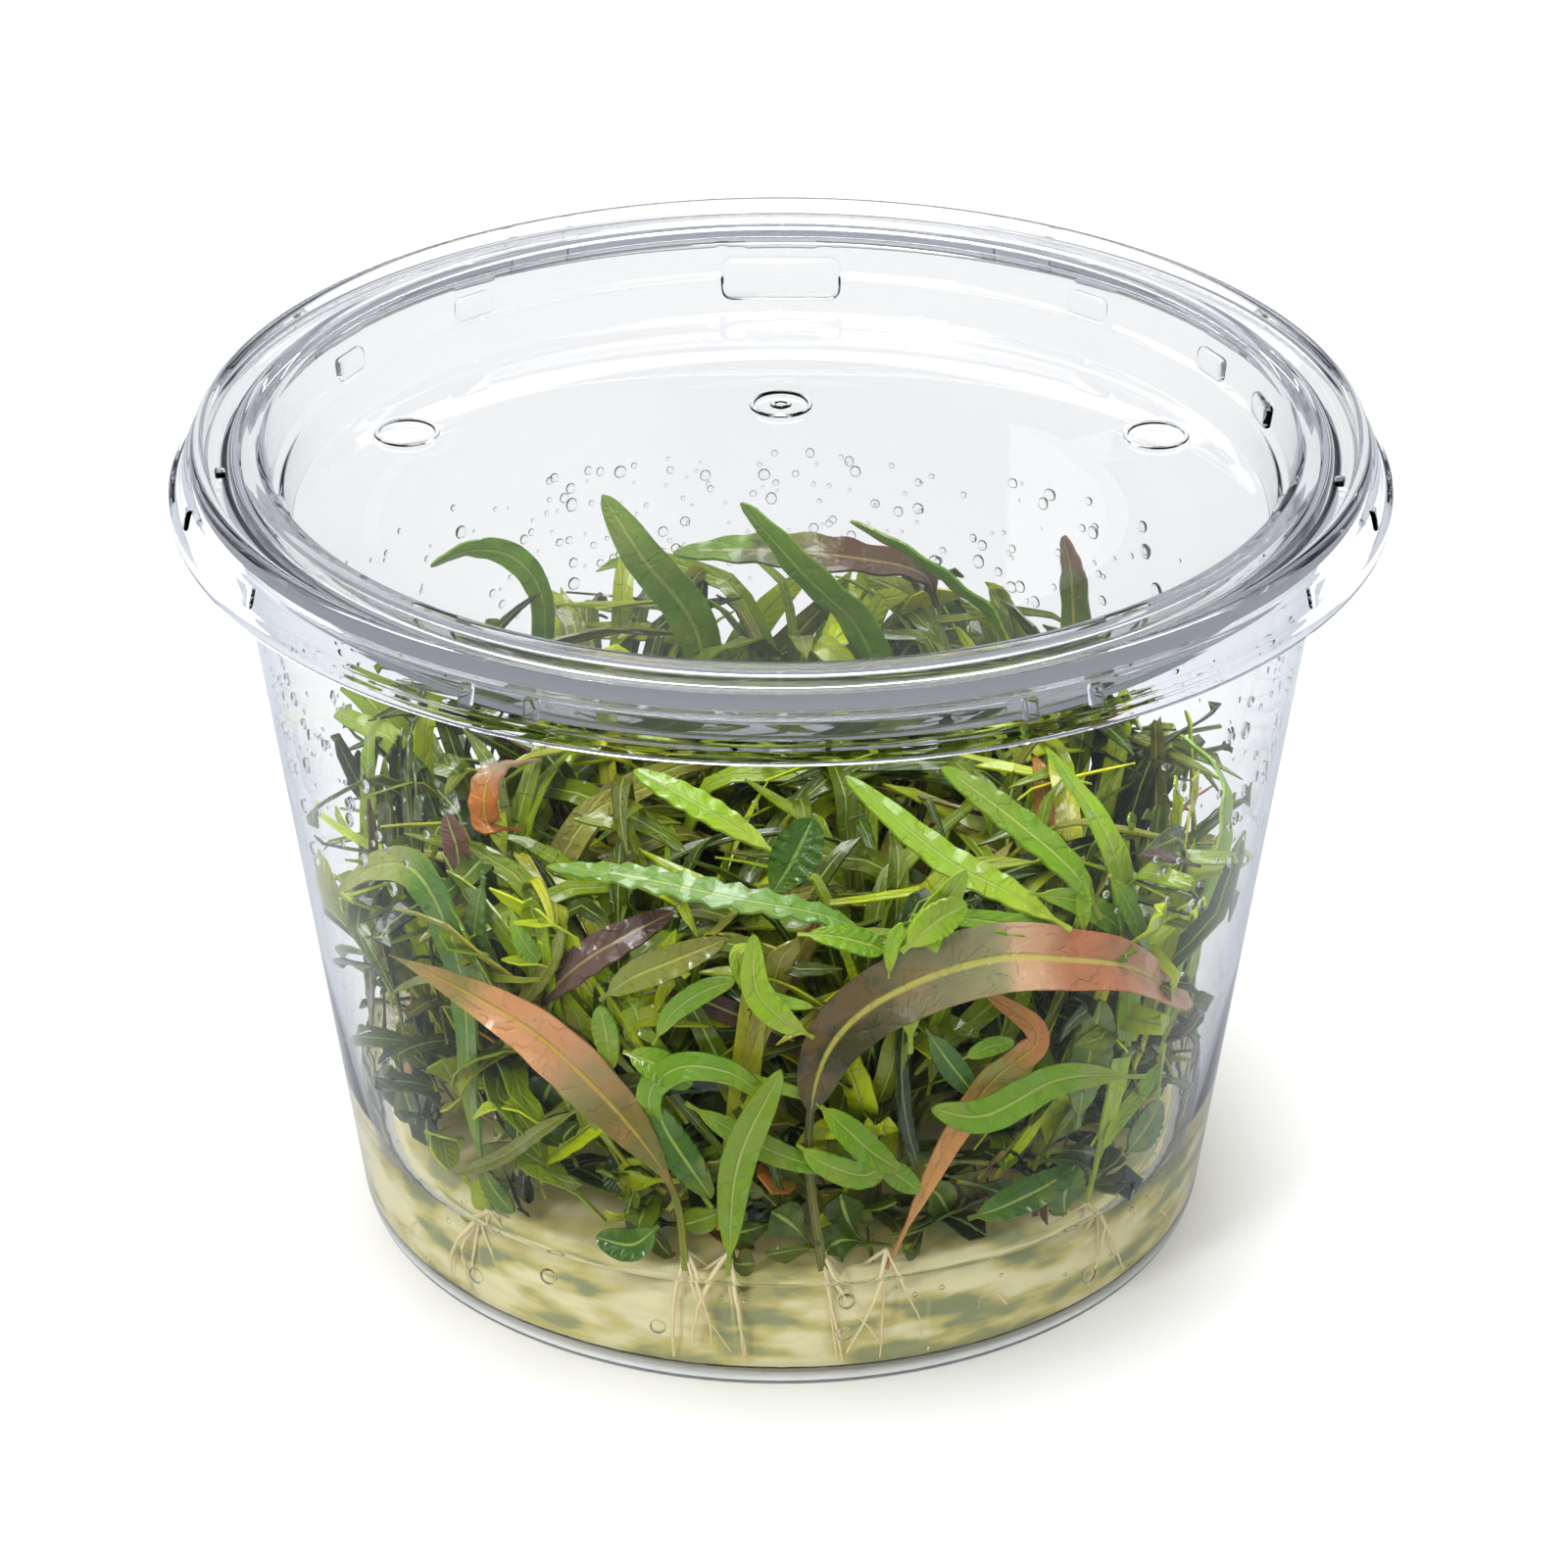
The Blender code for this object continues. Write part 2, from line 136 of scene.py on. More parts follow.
table_white, tree = new_material("table_white")
tone = spread(tree, noise(tree, 30.0), 0.0, 1.0, 0.67, 0.69)
colour = node(tree, "ShaderNodeCombineColor", {name: tone for name in ("Red", "Green", "Blue")})
white = node(tree, "ShaderNodeBsdfDiffuse", {"Color": colour.outputs[0]})
# Painted reflection shade: wherever the table is seen in a reflection, it shows dim blue-grey instead of
# white.
painted_reflection_shade = node(tree, "ShaderNodeBsdfDiffuse", {"Color": (0.38, 0.395, 0.43, 1)})
mirrored = maths(tree, "MINIMUM", node(tree, "ShaderNodeLightPath").outputs["Glossy Depth"], 1.0)
to_surface(tree, mix_shaders(tree, mirrored, white, painted_reflection_shade))
wear(table, table_white)

world = bpy.data.worlds.new("studio_walls")
bpy.context.scene.world = world
world.use_nodes = True
tree = world.node_tree
tree.nodes.clear()
toward = node(tree, "ShaderNodeTexCoord").outputs["Generated"]
toward = node(tree, "ShaderNodeSeparateXYZ", {0: toward}).outputs
walls = node(tree, "ShaderNodeValToRGB", {"Fac": maths(tree, "MULTIPLY_ADD", toward["Z"], 0.5, 0.5)})
walls.color_ramp.elements[0].color = SKY_FOOT
walls.color_ramp.elements[1].color = SKY_TOP
for position, grey in SKY_GREYS:
    stop = walls.color_ramp.elements.new(position)
    stop.color = (grey * 0.93, grey * 0.97, grey * 1.06, 1)
sky = walls.outputs["Color"]
aside = maths(tree, "DIVIDE", toward["X"], maths(tree, "MAXIMUM", toward["Y"], 0.01))
for place, reach, softness, lowest, strength, glow in CARDS:
    off = maths(tree, "ABSOLUTE", maths(tree, "SUBTRACT", aside, place))
    band = spread(tree, off, reach + softness, reach, kind="SMOOTHSTEP")
    rise = spread(tree, toward["Z"], lowest, lowest + CARD_EDGE)
    card = maths(tree, "MULTIPLY", maths(tree, "MULTIPLY", band, rise), strength)
    sky = blend(tree, card, sky, (glow, glow, glow, 1))
sky = blend(tree, node(tree, "ShaderNodeLightPath").outputs["Is Diffuse Ray"], sky, (1.0, 1.0, 0.99, 1))
background = node(tree, "ShaderNodeBackground", {"Color": sky, "Strength": 1.0})
node(tree, "ShaderNodeOutputWorld", {"Surface": background.outputs[0]})


def soft_light(name, place, aim, size, brightness):
    """An area light of (width, height) metres whose face has this brightness beside a white wall's 1."""
    bpy.ops.object.light_add(type="AREA", location=place)
    light = bpy.context.object
    light.name = name
    light.rotation_euler = (Vector(aim) - Vector(place)).to_track_quat("-Z", "Y").to_euler()
    light.data.shape = "RECTANGLE"
    light.data.size, light.data.size_y = size
    light.data.energy = brightness * math.pi * size[0] * size[1]


soft_light("overhead_softbox", (-0.10, 0.02, 1.25), (0, 0, 0.03), (0.8, 0.6), 8.5)
soft_light("front_left_softbox", (-0.75, -0.9, 1.05), (0, 0, 0.03), (0.22, 0.22), 60.0)

bpy.ops.object.camera_add(location=CAMERA_PLACE)
camera = bpy.context.object
camera.rotation_euler = (Vector(CAMERA_AIM) - camera.location).to_track_quat("-Z", "Y").to_euler()
camera.data.sensor_width = 36.0
camera.data.lens = 135.86
camera.data.shift_x = 0.002
camera.data.clip_start = 0.01
scene = bpy.context.scene
scene.camera = camera
scene.view_settings.view_transform = "Standard"
scene.view_settings.look = "None"
scene.cycles.use_denoising = True
scene.cycles.max_bounces = 14
scene.cycles.diffuse_bounces = 2
scene.cycles.glossy_bounces = 4
scene.cycles.transmission_bounces = 14
scene.cycles.transparent_max_bounces = 24
scene.cycles.sample_clamp_indirect = 6.0

# Cup. One injection-moulded piece of clear hard plastic: a tapered wall on a flat base, and round its rim a
# collar that the lid sits in, a flange with a short see-through skirt, small ribs and a thicker bottom lip.
WALL_FOOT_R, WALL_DRAFT, WALL = 42.1, 0.1394, 0.8
FLANGE_TOP, LIP_R, LIP_BOTTOM = 80.2, 58.5, 76.2


def wall_outer(z):
    return WALL_FOOT_R + WALL_DRAFT * z


def wall_inner(z):
    return wall_outer(z) - WALL


def choose(piece):
    bpy.ops.object.select_all(action="DESELECT")
    piece.select_set(True)
    bpy.context.view_layer.objects.active = piece


def finish(piece, kind, **settings):
    """Adds a modifier with these settings and applies it."""
    modifier = piece.modifiers.new(kind.title(), kind)
    for name, value in settings.items():
        setattr(modifier, name, value)
    choose(piece)
    bpy.ops.object.modifier_apply(modifier=modifier.name)


def join(pieces, name):
    """Makes one object of several, under this name."""
    choose(pieces[0])
    for piece in pieces:
        piece.select_set(True)
    if len(pieces) > 1:
        bpy.ops.object.join()
    pieces[0].name = pieces[0].data.name = name
    return pieces[0]


def turned(name, profile, steps):
    """A closed body round Z: a disc that is extruded ring by ring through (radius, height) points."""
    bpy.ops.object.select_all(action="DESELECT")
    radius, height = (value * MM for value in profile[0])
    start = (0, 0, height)
    bpy.ops.mesh.primitive_circle_add(vertices=steps, radius=radius, fill_type="NGON", location=start)
    piece = bpy.context.object
    piece.name = piece.data.name = name
    bpy.ops.object.transform_apply(location=True, rotation=False, scale=False)
    bpy.ops.object.mode_set(mode="EDIT")
    bpy.ops.mesh.select_all(action="SELECT")
    for (r, z), (next_r, next_z) in zip(profile, profile[1:]):
        bpy.ops.mesh.extrude_region_move(TRANSFORM_OT_translate={"value": (0, 0, (next_z - z) * MM)})
        bpy.ops.transform.resize(value=(next_r / r, next_r / r, 1), center_override=(0, 0, next_z * MM))
    bpy.ops.mesh.select_all(action="SELECT")
    bpy.ops.mesh.normals_make_consistent(inside=False)
    bpy.ops.object.mode_set(mode="OBJECT")
    return piece


def around(degrees, radius, height):
    """The place in metres that lies at this angle from the front, seen from the cup's axis."""
    turn = math.radians(degrees)
    return (radius * math.sin(turn) * MM, -radius * math.cos(turn) * MM, height * MM)


def settle():
    """Applies the place, turn and scale of the object just added to its mesh."""
    bpy.ops.object.transform_apply(location=True, rotation=True, scale=True)
    return bpy.context.object


def rounded_block(size, radius, height, degrees_from_front, lean=0.0):
    """A small block whose back is sunk in the wall at that angle, with its edges rounded."""
    place = around(degrees_from_front, radius, height)
    turned_by = (math.radians(lean), 0, math.pi + math.radians(degrees_from_front))
    bpy.ops.mesh.primitive_cube_add(size=MM, scale=size, location=place, rotation=turned_by)
    block = settle()
    finish(block, "BEVEL", width=0.28 * min(size[0], size[2]) * MM, segments=3, limit_method="NONE")
    return block


def ease_edges(piece, width, segments, degrees):
    """Rounds the edges that turn by more than these degrees."""
    limit = math.radians(degrees)
    finish(piece, "BEVEL", width=width * MM, segments=segments, limit_method="ANGLE", angle_limit=limit)


def fuse(piece, added):
    """Joins a closed shape to a closed piece, as one moulding."""
    finish(piece, "BOOLEAN", operation="UNION", solver="EXACT", object=added)
    bpy.data.objects.remove(added, do_unlink=True)


def smooth(piece, degrees):
    choose(piece)
    bpy.ops.object.shade_smooth_by_angle(angle=math.radians(degrees))


def both_sides(angles):
    return [side + sign * angle for side in (0, 180) for angle in angles for sign in (-1, 1)]


RIBS_AT = (22.5, 29.0, 57.7, 75.5)
cup = turned(
    "clear_cup",
    [(40.4, 1.6), (41.3, 2.2)]
    + [(wall_inner(z), z) for z in (3.4, 30, 55, 79.7)]
    + [(52.9, FLANGE_TOP), (56.7, FLANGE_TOP), (57.1, 79.8), (57.5, 78.1), (58.1, 77.9), (LIP_R, 77.4)]
    + [(LIP_R, LIP_BOTTOM), (57.8, LIP_BOTTOM), (57.6, 77.1), (56.8, 77.5), (56.3, 79.4)]
    + [(wall_outer(z), z) for z in (79.4, 55, 30, 1.7)]
    + [(42.0, 0.6), (41.3, 0.0)],
    steps=180,
)
ease_edges(cup, 0.22, segments=3, degrees=14)
ribs = [rounded_block((1.6, 1.1, 2.3), 57.15, 78.95, angle, lean=12) for angle in both_sides(RIBS_AT)]
fuse(cup, join(ribs, "skirt_ribs"))
smooth(cup, 40)


def clear_body(tree, colour, bending, shine, normal):
    """The shader of a clear solid or liquid. A shine below 1 cuts its reflection."""
    return node(
        tree,
        "ShaderNodeBsdfPrincipled",
        {
            "Base Color": colour,
            "Roughness": 0.0,
            "IOR": bending,
            "Specular Tint": (shine, shine, shine, 1),
            "Transmission Weight": 1.0,
            "Normal": normal,
        },
    )


def let_light_through(tree, clear_shader, pass_colour):
    """Mixes a clear shader with plain see-through for shadow rays and for light from dull surfaces."""
    path = node(tree, "ShaderNodeLightPath").outputs
    dull_gloss = maths(tree, "SUBTRACT", path["Is Glossy Ray"], path["Is Singular Ray"])
    passing = maths(tree, "MAXIMUM", path["Is Diffuse Ray"], dull_gloss)
    passing = maths(tree, "MAXIMUM", path["Is Shadow Ray"], passing)
    see_through = node(tree, "ShaderNodeBsdfTransparent", {"Color": pass_colour})
    return mix_shaders(tree, passing, clear_shader, see_through)


def clear_plastic(name, tint, bending, shine, ripple):
    """Hard clear plastic with the faint flow ripple of a moulding."""
    material, tree = new_material(name)
    flow = bumps(tree, noise(tree, 60.0, Detail=2.0), ripple, 0.3)
    deeper = tuple(0.985 * value for value in tint[:3]) + (1,)
    glassy = clear_body(tree, blend(tree, noise(tree, 25.0), tint, deeper), bending, shine, flow)
    to_surface(tree, let_light_through(tree, glassy, (0.985, 0.987, 0.988, 1)))
    return material


def dull(tree, colour, share):
    """A dull surface that lets this share of its light come out at the other side."""
    matt = node(tree, "ShaderNodeBsdfDiffuse", {"Color": colour})
    lit_through = node(tree, "ShaderNodeBsdfTranslucent", {"Color": colour})
    return mix_shaders(tree, share, matt, lit_through)


wear(cup, clear_plastic("cup_clear_plastic", (0.86, 0.87, 0.885, 1), 1.22, 0.0, 0.05))
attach(cup, "root")
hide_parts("cup")

foot = turned("frosted_foot", [(30.0, 0.12), (40.0, 0.12), (40.3, 0.3), (40.0, 0.5), (30.0, 0.5)], steps=96)
smooth(foot, 40)
# A frosted disc under the base. Its bluish white is partly frosting and partly a painted highlight: the
# bright line of light along the base's edge.
frosted, tree = new_material("frosted_underside_painted_highlight")
frost = blend(tree, noise(tree, 400.0), (0.86, 0.88, 0.92, 1), (0.95, 0.96, 0.98, 1))
to_surface(tree, dull(tree, frost, 0.5))
wear(foot, frosted)
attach(foot, "root")

# Lid. One thin moulding of the same clear plastic, pressed on: a sunken flat panel with three small ring
# marks, a stepped inner wall with stacking lugs and one tab, a bead, a shallow groove and an outer rim.
LID_SEAT, PANEL_TOP = 80.5, 73.3
LUGS_AT, TAB_AT, MARKS_AT = (40, 62, 76), 180, (-80, 78)
RING_MARKS = ((-36.9, 17.1, 3.0), (0, 23.8, 2.9), (0, 23.8, 0.8), (37.0, 16.5, 3.0))
lid = turned(
    "clear_lid",
    [(30.0, PANEL_TOP), (46.6, PANEL_TOP), (46.9, 73.6), (47.5, 77.0), (48.5, 77.3), (49.2, 81.5)]
    + [(49.8, 82.1), (50.7, 82.3), (51.6, 82.1), (52.2, 81.4), (52.6, 81.15), (54.6, 81.15)]
    + [(55.0, 82.1), (55.5, 82.4), (56.0, 82.25), (56.25, 81.7), (56.35, LID_SEAT), (52.1, LID_SEAT)]
    + [(51.95, 79.0), (51.45, 79.0)]
    + [(51.3, 81.2), (50.1, 81.2), (49.2, 76.7), (48.1, 76.4), (47.4, 72.6), (30.0, 72.6)],
    steps=180,
)
ease_edges(lid, 0.18, segments=2, degrees=14)
lugs = [rounded_block((4.6, 1.3, 2.6), 48.45, 78.2, angle) for angle in both_sides(LUGS_AT)]
lugs.append(rounded_block((12.4, 2.2, 4.6), 47.9, 76.6, TAB_AT))
lugs += [rounded_block((1.4, 1.0, 0.8), 53.6, 81.3, angle) for angle in MARKS_AT]
for x, y, ring in RING_MARKS:
    bpy.ops.mesh.primitive_torus_add(
        location=(x * MM, y * MM, PANEL_TOP * MM),
        major_radius=ring * MM,
        minor_radius=0.26 * MM,
        major_segments=40,
        minor_segments=8,
    )
    lugs.append(settle())
fuse(lid, join(lugs, "lid_lugs"))
smooth(lid, 40)
# The lid's plastic is tinted a deeper grey than the cup's. This is painted shade that dims what shows through
# its flat panel.
wear(lid, clear_plastic("lid_clear_plastic", (0.78, 0.783, 0.786, 1), 1.24, 1.0, 0.03))
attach(lid, "root")
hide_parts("lid")

# Jelly. Pale yellow, clear agar poured into the cup, which wets the wall, climbs it a little and has an
# uneven wet top. Small air bubbles sit in it, mostly near the wall.
GEL_TOP, GEL_WET = 11.5, 0.05
gel = turned(
    "agar_jelly",
    [(radius, GEL_TOP) for radius in (2, 5, 8, 11, 14, 17, 20, 23, 26, 29, 32, 35, 37.5, 39.6)]
    + [(41.3, 11.7), (42.2, 12.0), (wall_inner(12.4) + GEL_WET, 12.4), (wall_inner(3.4) + GEL_WET, 3.4)]
    + [(41.35, 2.15), (40.45, 1.55)],
    steps=96,
)
unevenness = bpy.data.textures.new("jelly_unevenness", "CLOUDS")
unevenness.noise_scale = 7 * MM
gel_top = gel.vertex_groups.new(name="jelly_top")
on_top = [v.index for v in gel.data.vertices if v.co.z > 11.4 * MM and v.co.xy.length < 41 * MM]
gel_top.add(on_top, 1.0, "REPLACE")
waviness = {"texture": unevenness, "vertex_group": "jelly_top", "direction": "Z", "mid_level": 0.5}
finish(gel, "DISPLACE", strength=1.6 * MM, **waviness)
smooth(gel, 50)
pale, tree = new_material("pale_agar")
lumps = bumps(tree, noise(tree, 240.0, Detail=2.0), 0.5, 0.5)
clear = clear_body(tree, (0.97, 0.955, 0.86, 1), 1.34, 0.6, lumps)
to_surface(tree, let_light_through(tree, clear, (0.98, 0.975, 0.93, 1)))
wear(gel, pale)
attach(gel, "root")
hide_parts("agar_gel")

# A cloudy core inside the clear jelly. Its milkiness is the agar's own, but its level streaks are painted
# light: painted reflections of the leaves in the jelly's floor and painted glints through its uneven top.
core = turned(
    "cloudy_jelly",
    [(30.0, 10.6), (38.4, 10.6), (39.8, 9.4), (40.2, 5.0), (40.3, 2.4), (39.8, 1.8), (30.0, 1.8)],
    steps=96,
)
ease_edges(core, 0.5, segments=3, degrees=20)
smooth(core, 60)
cloudy, tree = new_material("cloudy_agar_painted_glints")
place = node(tree, "ShaderNodeTexCoord").outputs["Object"]
layers = node(tree, "ShaderNodeMapping", {"Vector": place, "Scale": (1.0, 1.0, 3.2)}).outputs[0]
cloud = noise(tree, 120.0, layers, Detail=3.0, Roughness=0.45)
# Painted reflection and glint colours: grey-green for the mirrored leaves, cream for the glints, pale yellow
# between.
shade = node(tree, "ShaderNodeValToRGB", {"Fac": cloud})
shade.color_ramp.elements[0].position = 0.40
shade.color_ramp.elements[0].color = srgb(196, 204, 162)
shade.color_ramp.elements[1].position = 0.58
shade.color_ramp.elements[1].color = srgb(255, 248, 206)
shade.color_ramp.elements.new(0.48).color = srgb(242, 231, 158)
milk = spread(tree, cloud, 0.35, 0.65, 0.55, 0.9)
open_air = node(tree, "ShaderNodeBsdfTransparent", {"Color": (1.0, 0.99, 0.94, 1)})
to_surface(tree, mix_shaders(tree, milk, open_air, dull(tree, shade.outputs["Color"], 0.3)))
wear(core, cloudy)
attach(core, "root")

# Each large bubble's angle from the front in degrees, its height and its radius. The small ones are drawn.
BUBBLES = [(-45.2, 4.9, 0.95), (-32.0, 8.8, 0.95), (-16.4, 5.9, 0.85), (8.5, 9.8, 0.9), (8.3, 5.8, 0.85)]
BUBBLES += [(45.9, 4.7, 0.9)]
SMALL_BUBBLES = 110
dice = random.Random(7)
ranges = ((-180, 180), (3.2, 10.2), (0.1, 0.35))
small = [tuple(dice.uniform(*limits) for limits in ranges) for _ in range(SMALL_BUBBLES)]
bubbles = []
for angle, height, radius in BUBBLES + small:
    large = radius > 0.5
    depth = wall_inner(height) - radius - 0.25 - (0 if large else dice.uniform(0, 4))
    bpy.ops.mesh.primitive_uv_sphere_add(
        segments=24 if large else 10,
        ring_count=14 if large else 6,
        radius=radius * MM,
        location=around(angle, depth, height),
    )
    bubbles.append(settle())
bubbles = join(bubbles, "air_bubbles")
smooth(bubbles, 80)
air, tree = new_material("air_in_jelly")
skin = bumps(tree, noise(tree, 900.0), 0.1, 0.05)
hollow = node(tree, "ShaderNodeBsdfGlass", {"Roughness": 0.0, "IOR": 0.75, "Normal": skin})
to_surface(tree, let_light_through(tree, hollow, (1, 1, 1, 1)))
wear(bubbles, air)
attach(bubbles, "root")

# Plantlets. Fourteen small plants rooted in the jelly, each a short pale stem with narrow leaves that lean on
# the wall and on each other. Living leaf: thin, waxy and wet, with a pale midrib and fine side veins.
# Each ring of plantlets: how many, at what radius, and the angle of the first.
RINGS = ((5, 14.5, 20.0), (9, 30.5, 6.0))
OUTER_LEAVES, INNER_LEAVES, WALL_LEAVES = 104, 54, 34
KEEL, LEAF_THICKNESS, LARGE_LEAF_THICKNESS = 0.16, 0.22, 0.28


def smooth_route(route, count):
    """Points along a curve through every point of the route, in millimetres."""
    route = np.array(route, float)
    ends = np.vstack([2 * route[0] - route[1], route, 2 * route[-1] - route[-2]])
    points = []
    for along in np.linspace(0, len(route) - 1, count):
        index = min(int(along), len(route) - 2)
        a, b, c, d = ends[index : index + 4]
        t = along - index
        bend, sway = 2 * a - 5 * b + 4 * c - d, 3 * b - a - 3 * c + d
        points.append(0.5 * (2 * b + (c - a) * t + bend * t**2 + sway * t**3))
    return np.array(points)


def outline(share, stalk, widest, bluntness):
    """Half the width of a leaf at this share of its length: a thin stalk, a belly and a tip."""
    along = max(0.0, (share - stalk) / (1 - stalk))
    blade = 0.0
    if along > 0:
        blade = math.sin(math.pi * min(1.0, along) ** (math.log(0.5) / math.log(widest))) ** bluntness
    return max(0.14 * (1 - 0.75 * share), blade)


def leaf_blank(name, across, along, stalk, widest, bluntness):
    """A flat leaf one unit wide and long, cut from a grid. Its UV runs across it and from foot to tip."""
    bpy.ops.object.select_all(action="DESELECT")
    bpy.ops.mesh.primitive_grid_add(x_subdivisions=across, y_subdivisions=along, size=1.0, calc_uvs=True)
    blank = bpy.context.object
    blank.name = blank.data.name = name
    bpy.ops.object.mode_set(mode="EDIT")
    edit = bmesh.from_edit_mesh(blank.data)
    for row in range(along + 1):
        height = row / along - 0.5
        for vert in edit.verts:
            vert.select_set(abs(vert.co.y - height) < 0.1 / along)
        edit.select_flush(True)
        bmesh.update_edit_mesh(blank.data)
        slim = outline(row / along, stalk, widest, bluntness)
        bpy.ops.transform.resize(value=(slim, 1, 1), center_override=(0, height, 0))
    bpy.ops.object.mode_set(mode="OBJECT")
    blank.hide_render = True
    return blank


def unit(rows, spare=0.0):
    """Rows of vectors, each made one unit long."""
    return rows / (np.linalg.norm(rows, axis=1)[:, None] + spare)


def lay_leaf(blank, spine, sides, width, colours, frill, waves=7.0, seed=0):
    """A copy of the blank, bent so that its middle follows the spine, with its colours from foot to tip."""
    leaf = bpy.data.objects.new("leaf", blank.data.copy())
    bpy.context.scene.collection.objects.link(leaf)
    flat = np.zeros(len(leaf.data.vertices) * 3)
    leaf.data.vertices.foreach_get("co", flat)
    flat = flat.reshape(-1, 3)
    share = flat[:, 1] + 0.5
    across = flat[:, 0]
    stations = np.linspace(0, 1, len(spine))
    tangents = unit(np.gradient(spine, axis=0))
    sides = unit(sides - tangents * np.sum(sides * tangents, axis=1)[:, None])
    faces = np.cross(sides, tangents)

    def along_leaf(rows, at, columns):
        return np.stack([np.interp(share, at, rows[:, k]) for k in range(columns)], 1)

    middle, side, face = (along_leaf(rows, stations, 3) for rows in (spine, sides, faces))
    edge = np.abs(across) * 2
    rise = KEEL * np.abs(across) * width
    phase = waves * share + 0.5 * np.sign(across) + 0.13 * seed
    wave = frill * width * edge**2 * np.sin(2 * math.pi * phase)
    placed = (middle + side * (across * width)[:, None] + face * (rise + wave)[:, None]) * MM
    leaf.data.vertices.foreach_set("co", placed.reshape(-1))
    painted = along_leaf(np.array([tint for _, tint in colours]), [stop for stop, _ in colours], 4)
    layer = leaf.data.color_attributes.new(name="leaf_colour", type="FLOAT_COLOR", domain="POINT")
    layer.data.foreach_set("color", painted.reshape(-1))
    return leaf


def thicken(piece, thickness):
    """Gives flat leaves their thickness and closes their edges."""
    finish(piece, "SOLIDIFY", thickness=thickness * MM, offset=0.0, use_even_offset=False)
    smooth(piece, 60)


GREENS = {
    "deep": srgb(64, 90, 8),
    "leaf": srgb(134, 158, 8),
    "bright": srgb(192, 206, 16),
    "lime": srgb(228, 226, 48),
    "olive": srgb(158, 148, 52),
    "bronze": srgb(142, 98, 50),
    "purple": srgb(112, 78, 66),
    "orange": srgb(220, 146, 70),
}
# How many leaves in a hundred have each colour.
MIXTURE = {"deep": 20, "leaf": 32, "bright": 27, "lime": 11, "olive": 6}
MIXTURE |= {"bronze": 2, "purple": 1, "orange": 1}


def from_middle(tree, value):
    """How far a value between 0 and 1 lies from its middle, as a share."""
    return maths(tree, "MULTIPLY", maths(tree, "ABSOLUTE", maths(tree, "SUBTRACT", value, 0.5)), 2.0)


def leaf_pattern_group():
    """Veins, mottling and wet relief of a leaf, from its UV (across, along) and its place."""
    group = bpy.data.node_groups.new("leaf_pattern", "ShaderNodeTree")
    sockets = {
        "INPUT": {"Blade": "Color", "Vein": "Color", "Blotch": "Color", "Blotchiness": "Float"},
        "OUTPUT": {"Colour": "Color", "Height": "Float", "Roughness": "Float", "Wet": "Float"},
    }
    for way, names in sockets.items():
        for name, kind in names.items():
            group.interface.new_socket(name, in_out=way, socket_type="NodeSocket" + kind)
    given = node(group, "NodeGroupInput").outputs
    uv = node(group, "ShaderNodeUVMap", uv_map="UVMap").outputs[0]
    uv = node(group, "ShaderNodeSeparateXYZ", {0: uv}).outputs
    off = from_middle(group, uv["X"])
    midrib = spread(group, off, 0.05, 0.15, 1.0, 0.0, kind="SMOOTHSTEP")
    run = maths(group, "MULTIPLY_ADD", off, -1.7, maths(group, "MULTIPLY", uv["Y"], 13.0))
    between = from_middle(group, maths(group, "FRACT", run))
    veins = spread(group, between, 0.86, 1.0, kind="SMOOTHSTEP")
    mottle = noise(group, 420.0, Detail=4.0, Roughness=0.6)
    patches = noise(group, 150.0, Detail=2.0)
    deeper = (0.34, 0.46, 0.26, 1)
    dark = blend(group, maths(group, "MULTIPLY", mottle, 0.4), given["Blade"], deeper, kind="MULTIPLY")
    spots = spread(group, patches, 0.52, 0.62, kind="SMOOTHSTEP")
    blotched = blend(group, maths(group, "MULTIPLY", spots, given["Blotchiness"]), dark, given["Blotch"])
    side_veins = maths(group, "MULTIPLY", veins, 0.04)
    pale = maths(group, "MAXIMUM", maths(group, "MULTIPLY", midrib, 0.7), side_veins)
    veined = blend(group, pale, blotched, given["Vein"])
    quilt = maths(group, "SUBTRACT", 1.0, maths(group, "POWER", between, 2.0))
    fine = noise(group, 1500.0, Detail=2.0)
    film = spread(group, noise(group, 330.0, Detail=3.0, Distortion=0.6), 0.47, 0.51, to_low=0.12)
    height = 0.0
    for relief, share in ((quilt, 0.16), (mottle, 0.8), (fine, 0.25), (midrib, -0.6), (film, 0.5)):
        height = maths(group, "MULTIPLY_ADD", relief, share, height)
    rough = spread(group, patches, 0.35, 0.65, 0.18, 0.42)
    node(group, "NodeGroupOutput", {"Colour": veined, "Height": height, "Roughness": rough, "Wet": film})
    return group


leaf_pattern = leaf_pattern_group()


def leaf_material(name, vein, blotch, blotchiness):
    """A thin, waxy leaf under a patchy film of water, in the colours painted on its points."""
    material, tree = new_material(name)
    blade = node(tree, "ShaderNodeAttribute", attribute_name="leaf_colour").outputs["Color"]
    looks = {"Blade": blade, "Vein": vein, "Blotch": blotch, "Blotchiness": blotchiness}
    pattern = node(tree, "ShaderNodeGroup", looks, node_tree=leaf_pattern).outputs
    relief = bumps(tree, pattern["Height"], 0.75, 0.35)
    waxy = node(
        tree,
        "ShaderNodeBsdfPrincipled",
        {
            "Base Color": pattern["Colour"],
            "Roughness": pattern["Roughness"],
            "Specular IOR Level": 0.3,
            "Coat Weight": pattern["Wet"],
            "Coat Roughness": 0.06,
            "Normal": relief,
        },
    )
    glow = node(tree, "ShaderNodeBsdfTranslucent", {"Color": pattern["Colour"], "Normal": relief})
    to_surface(tree, mix_shaders(tree, 0.33, waxy, glow))
    return material


green_leaf = leaf_material("green_living_leaf", srgb(182, 202, 96), srgb(150, 160, 52), 0.35)

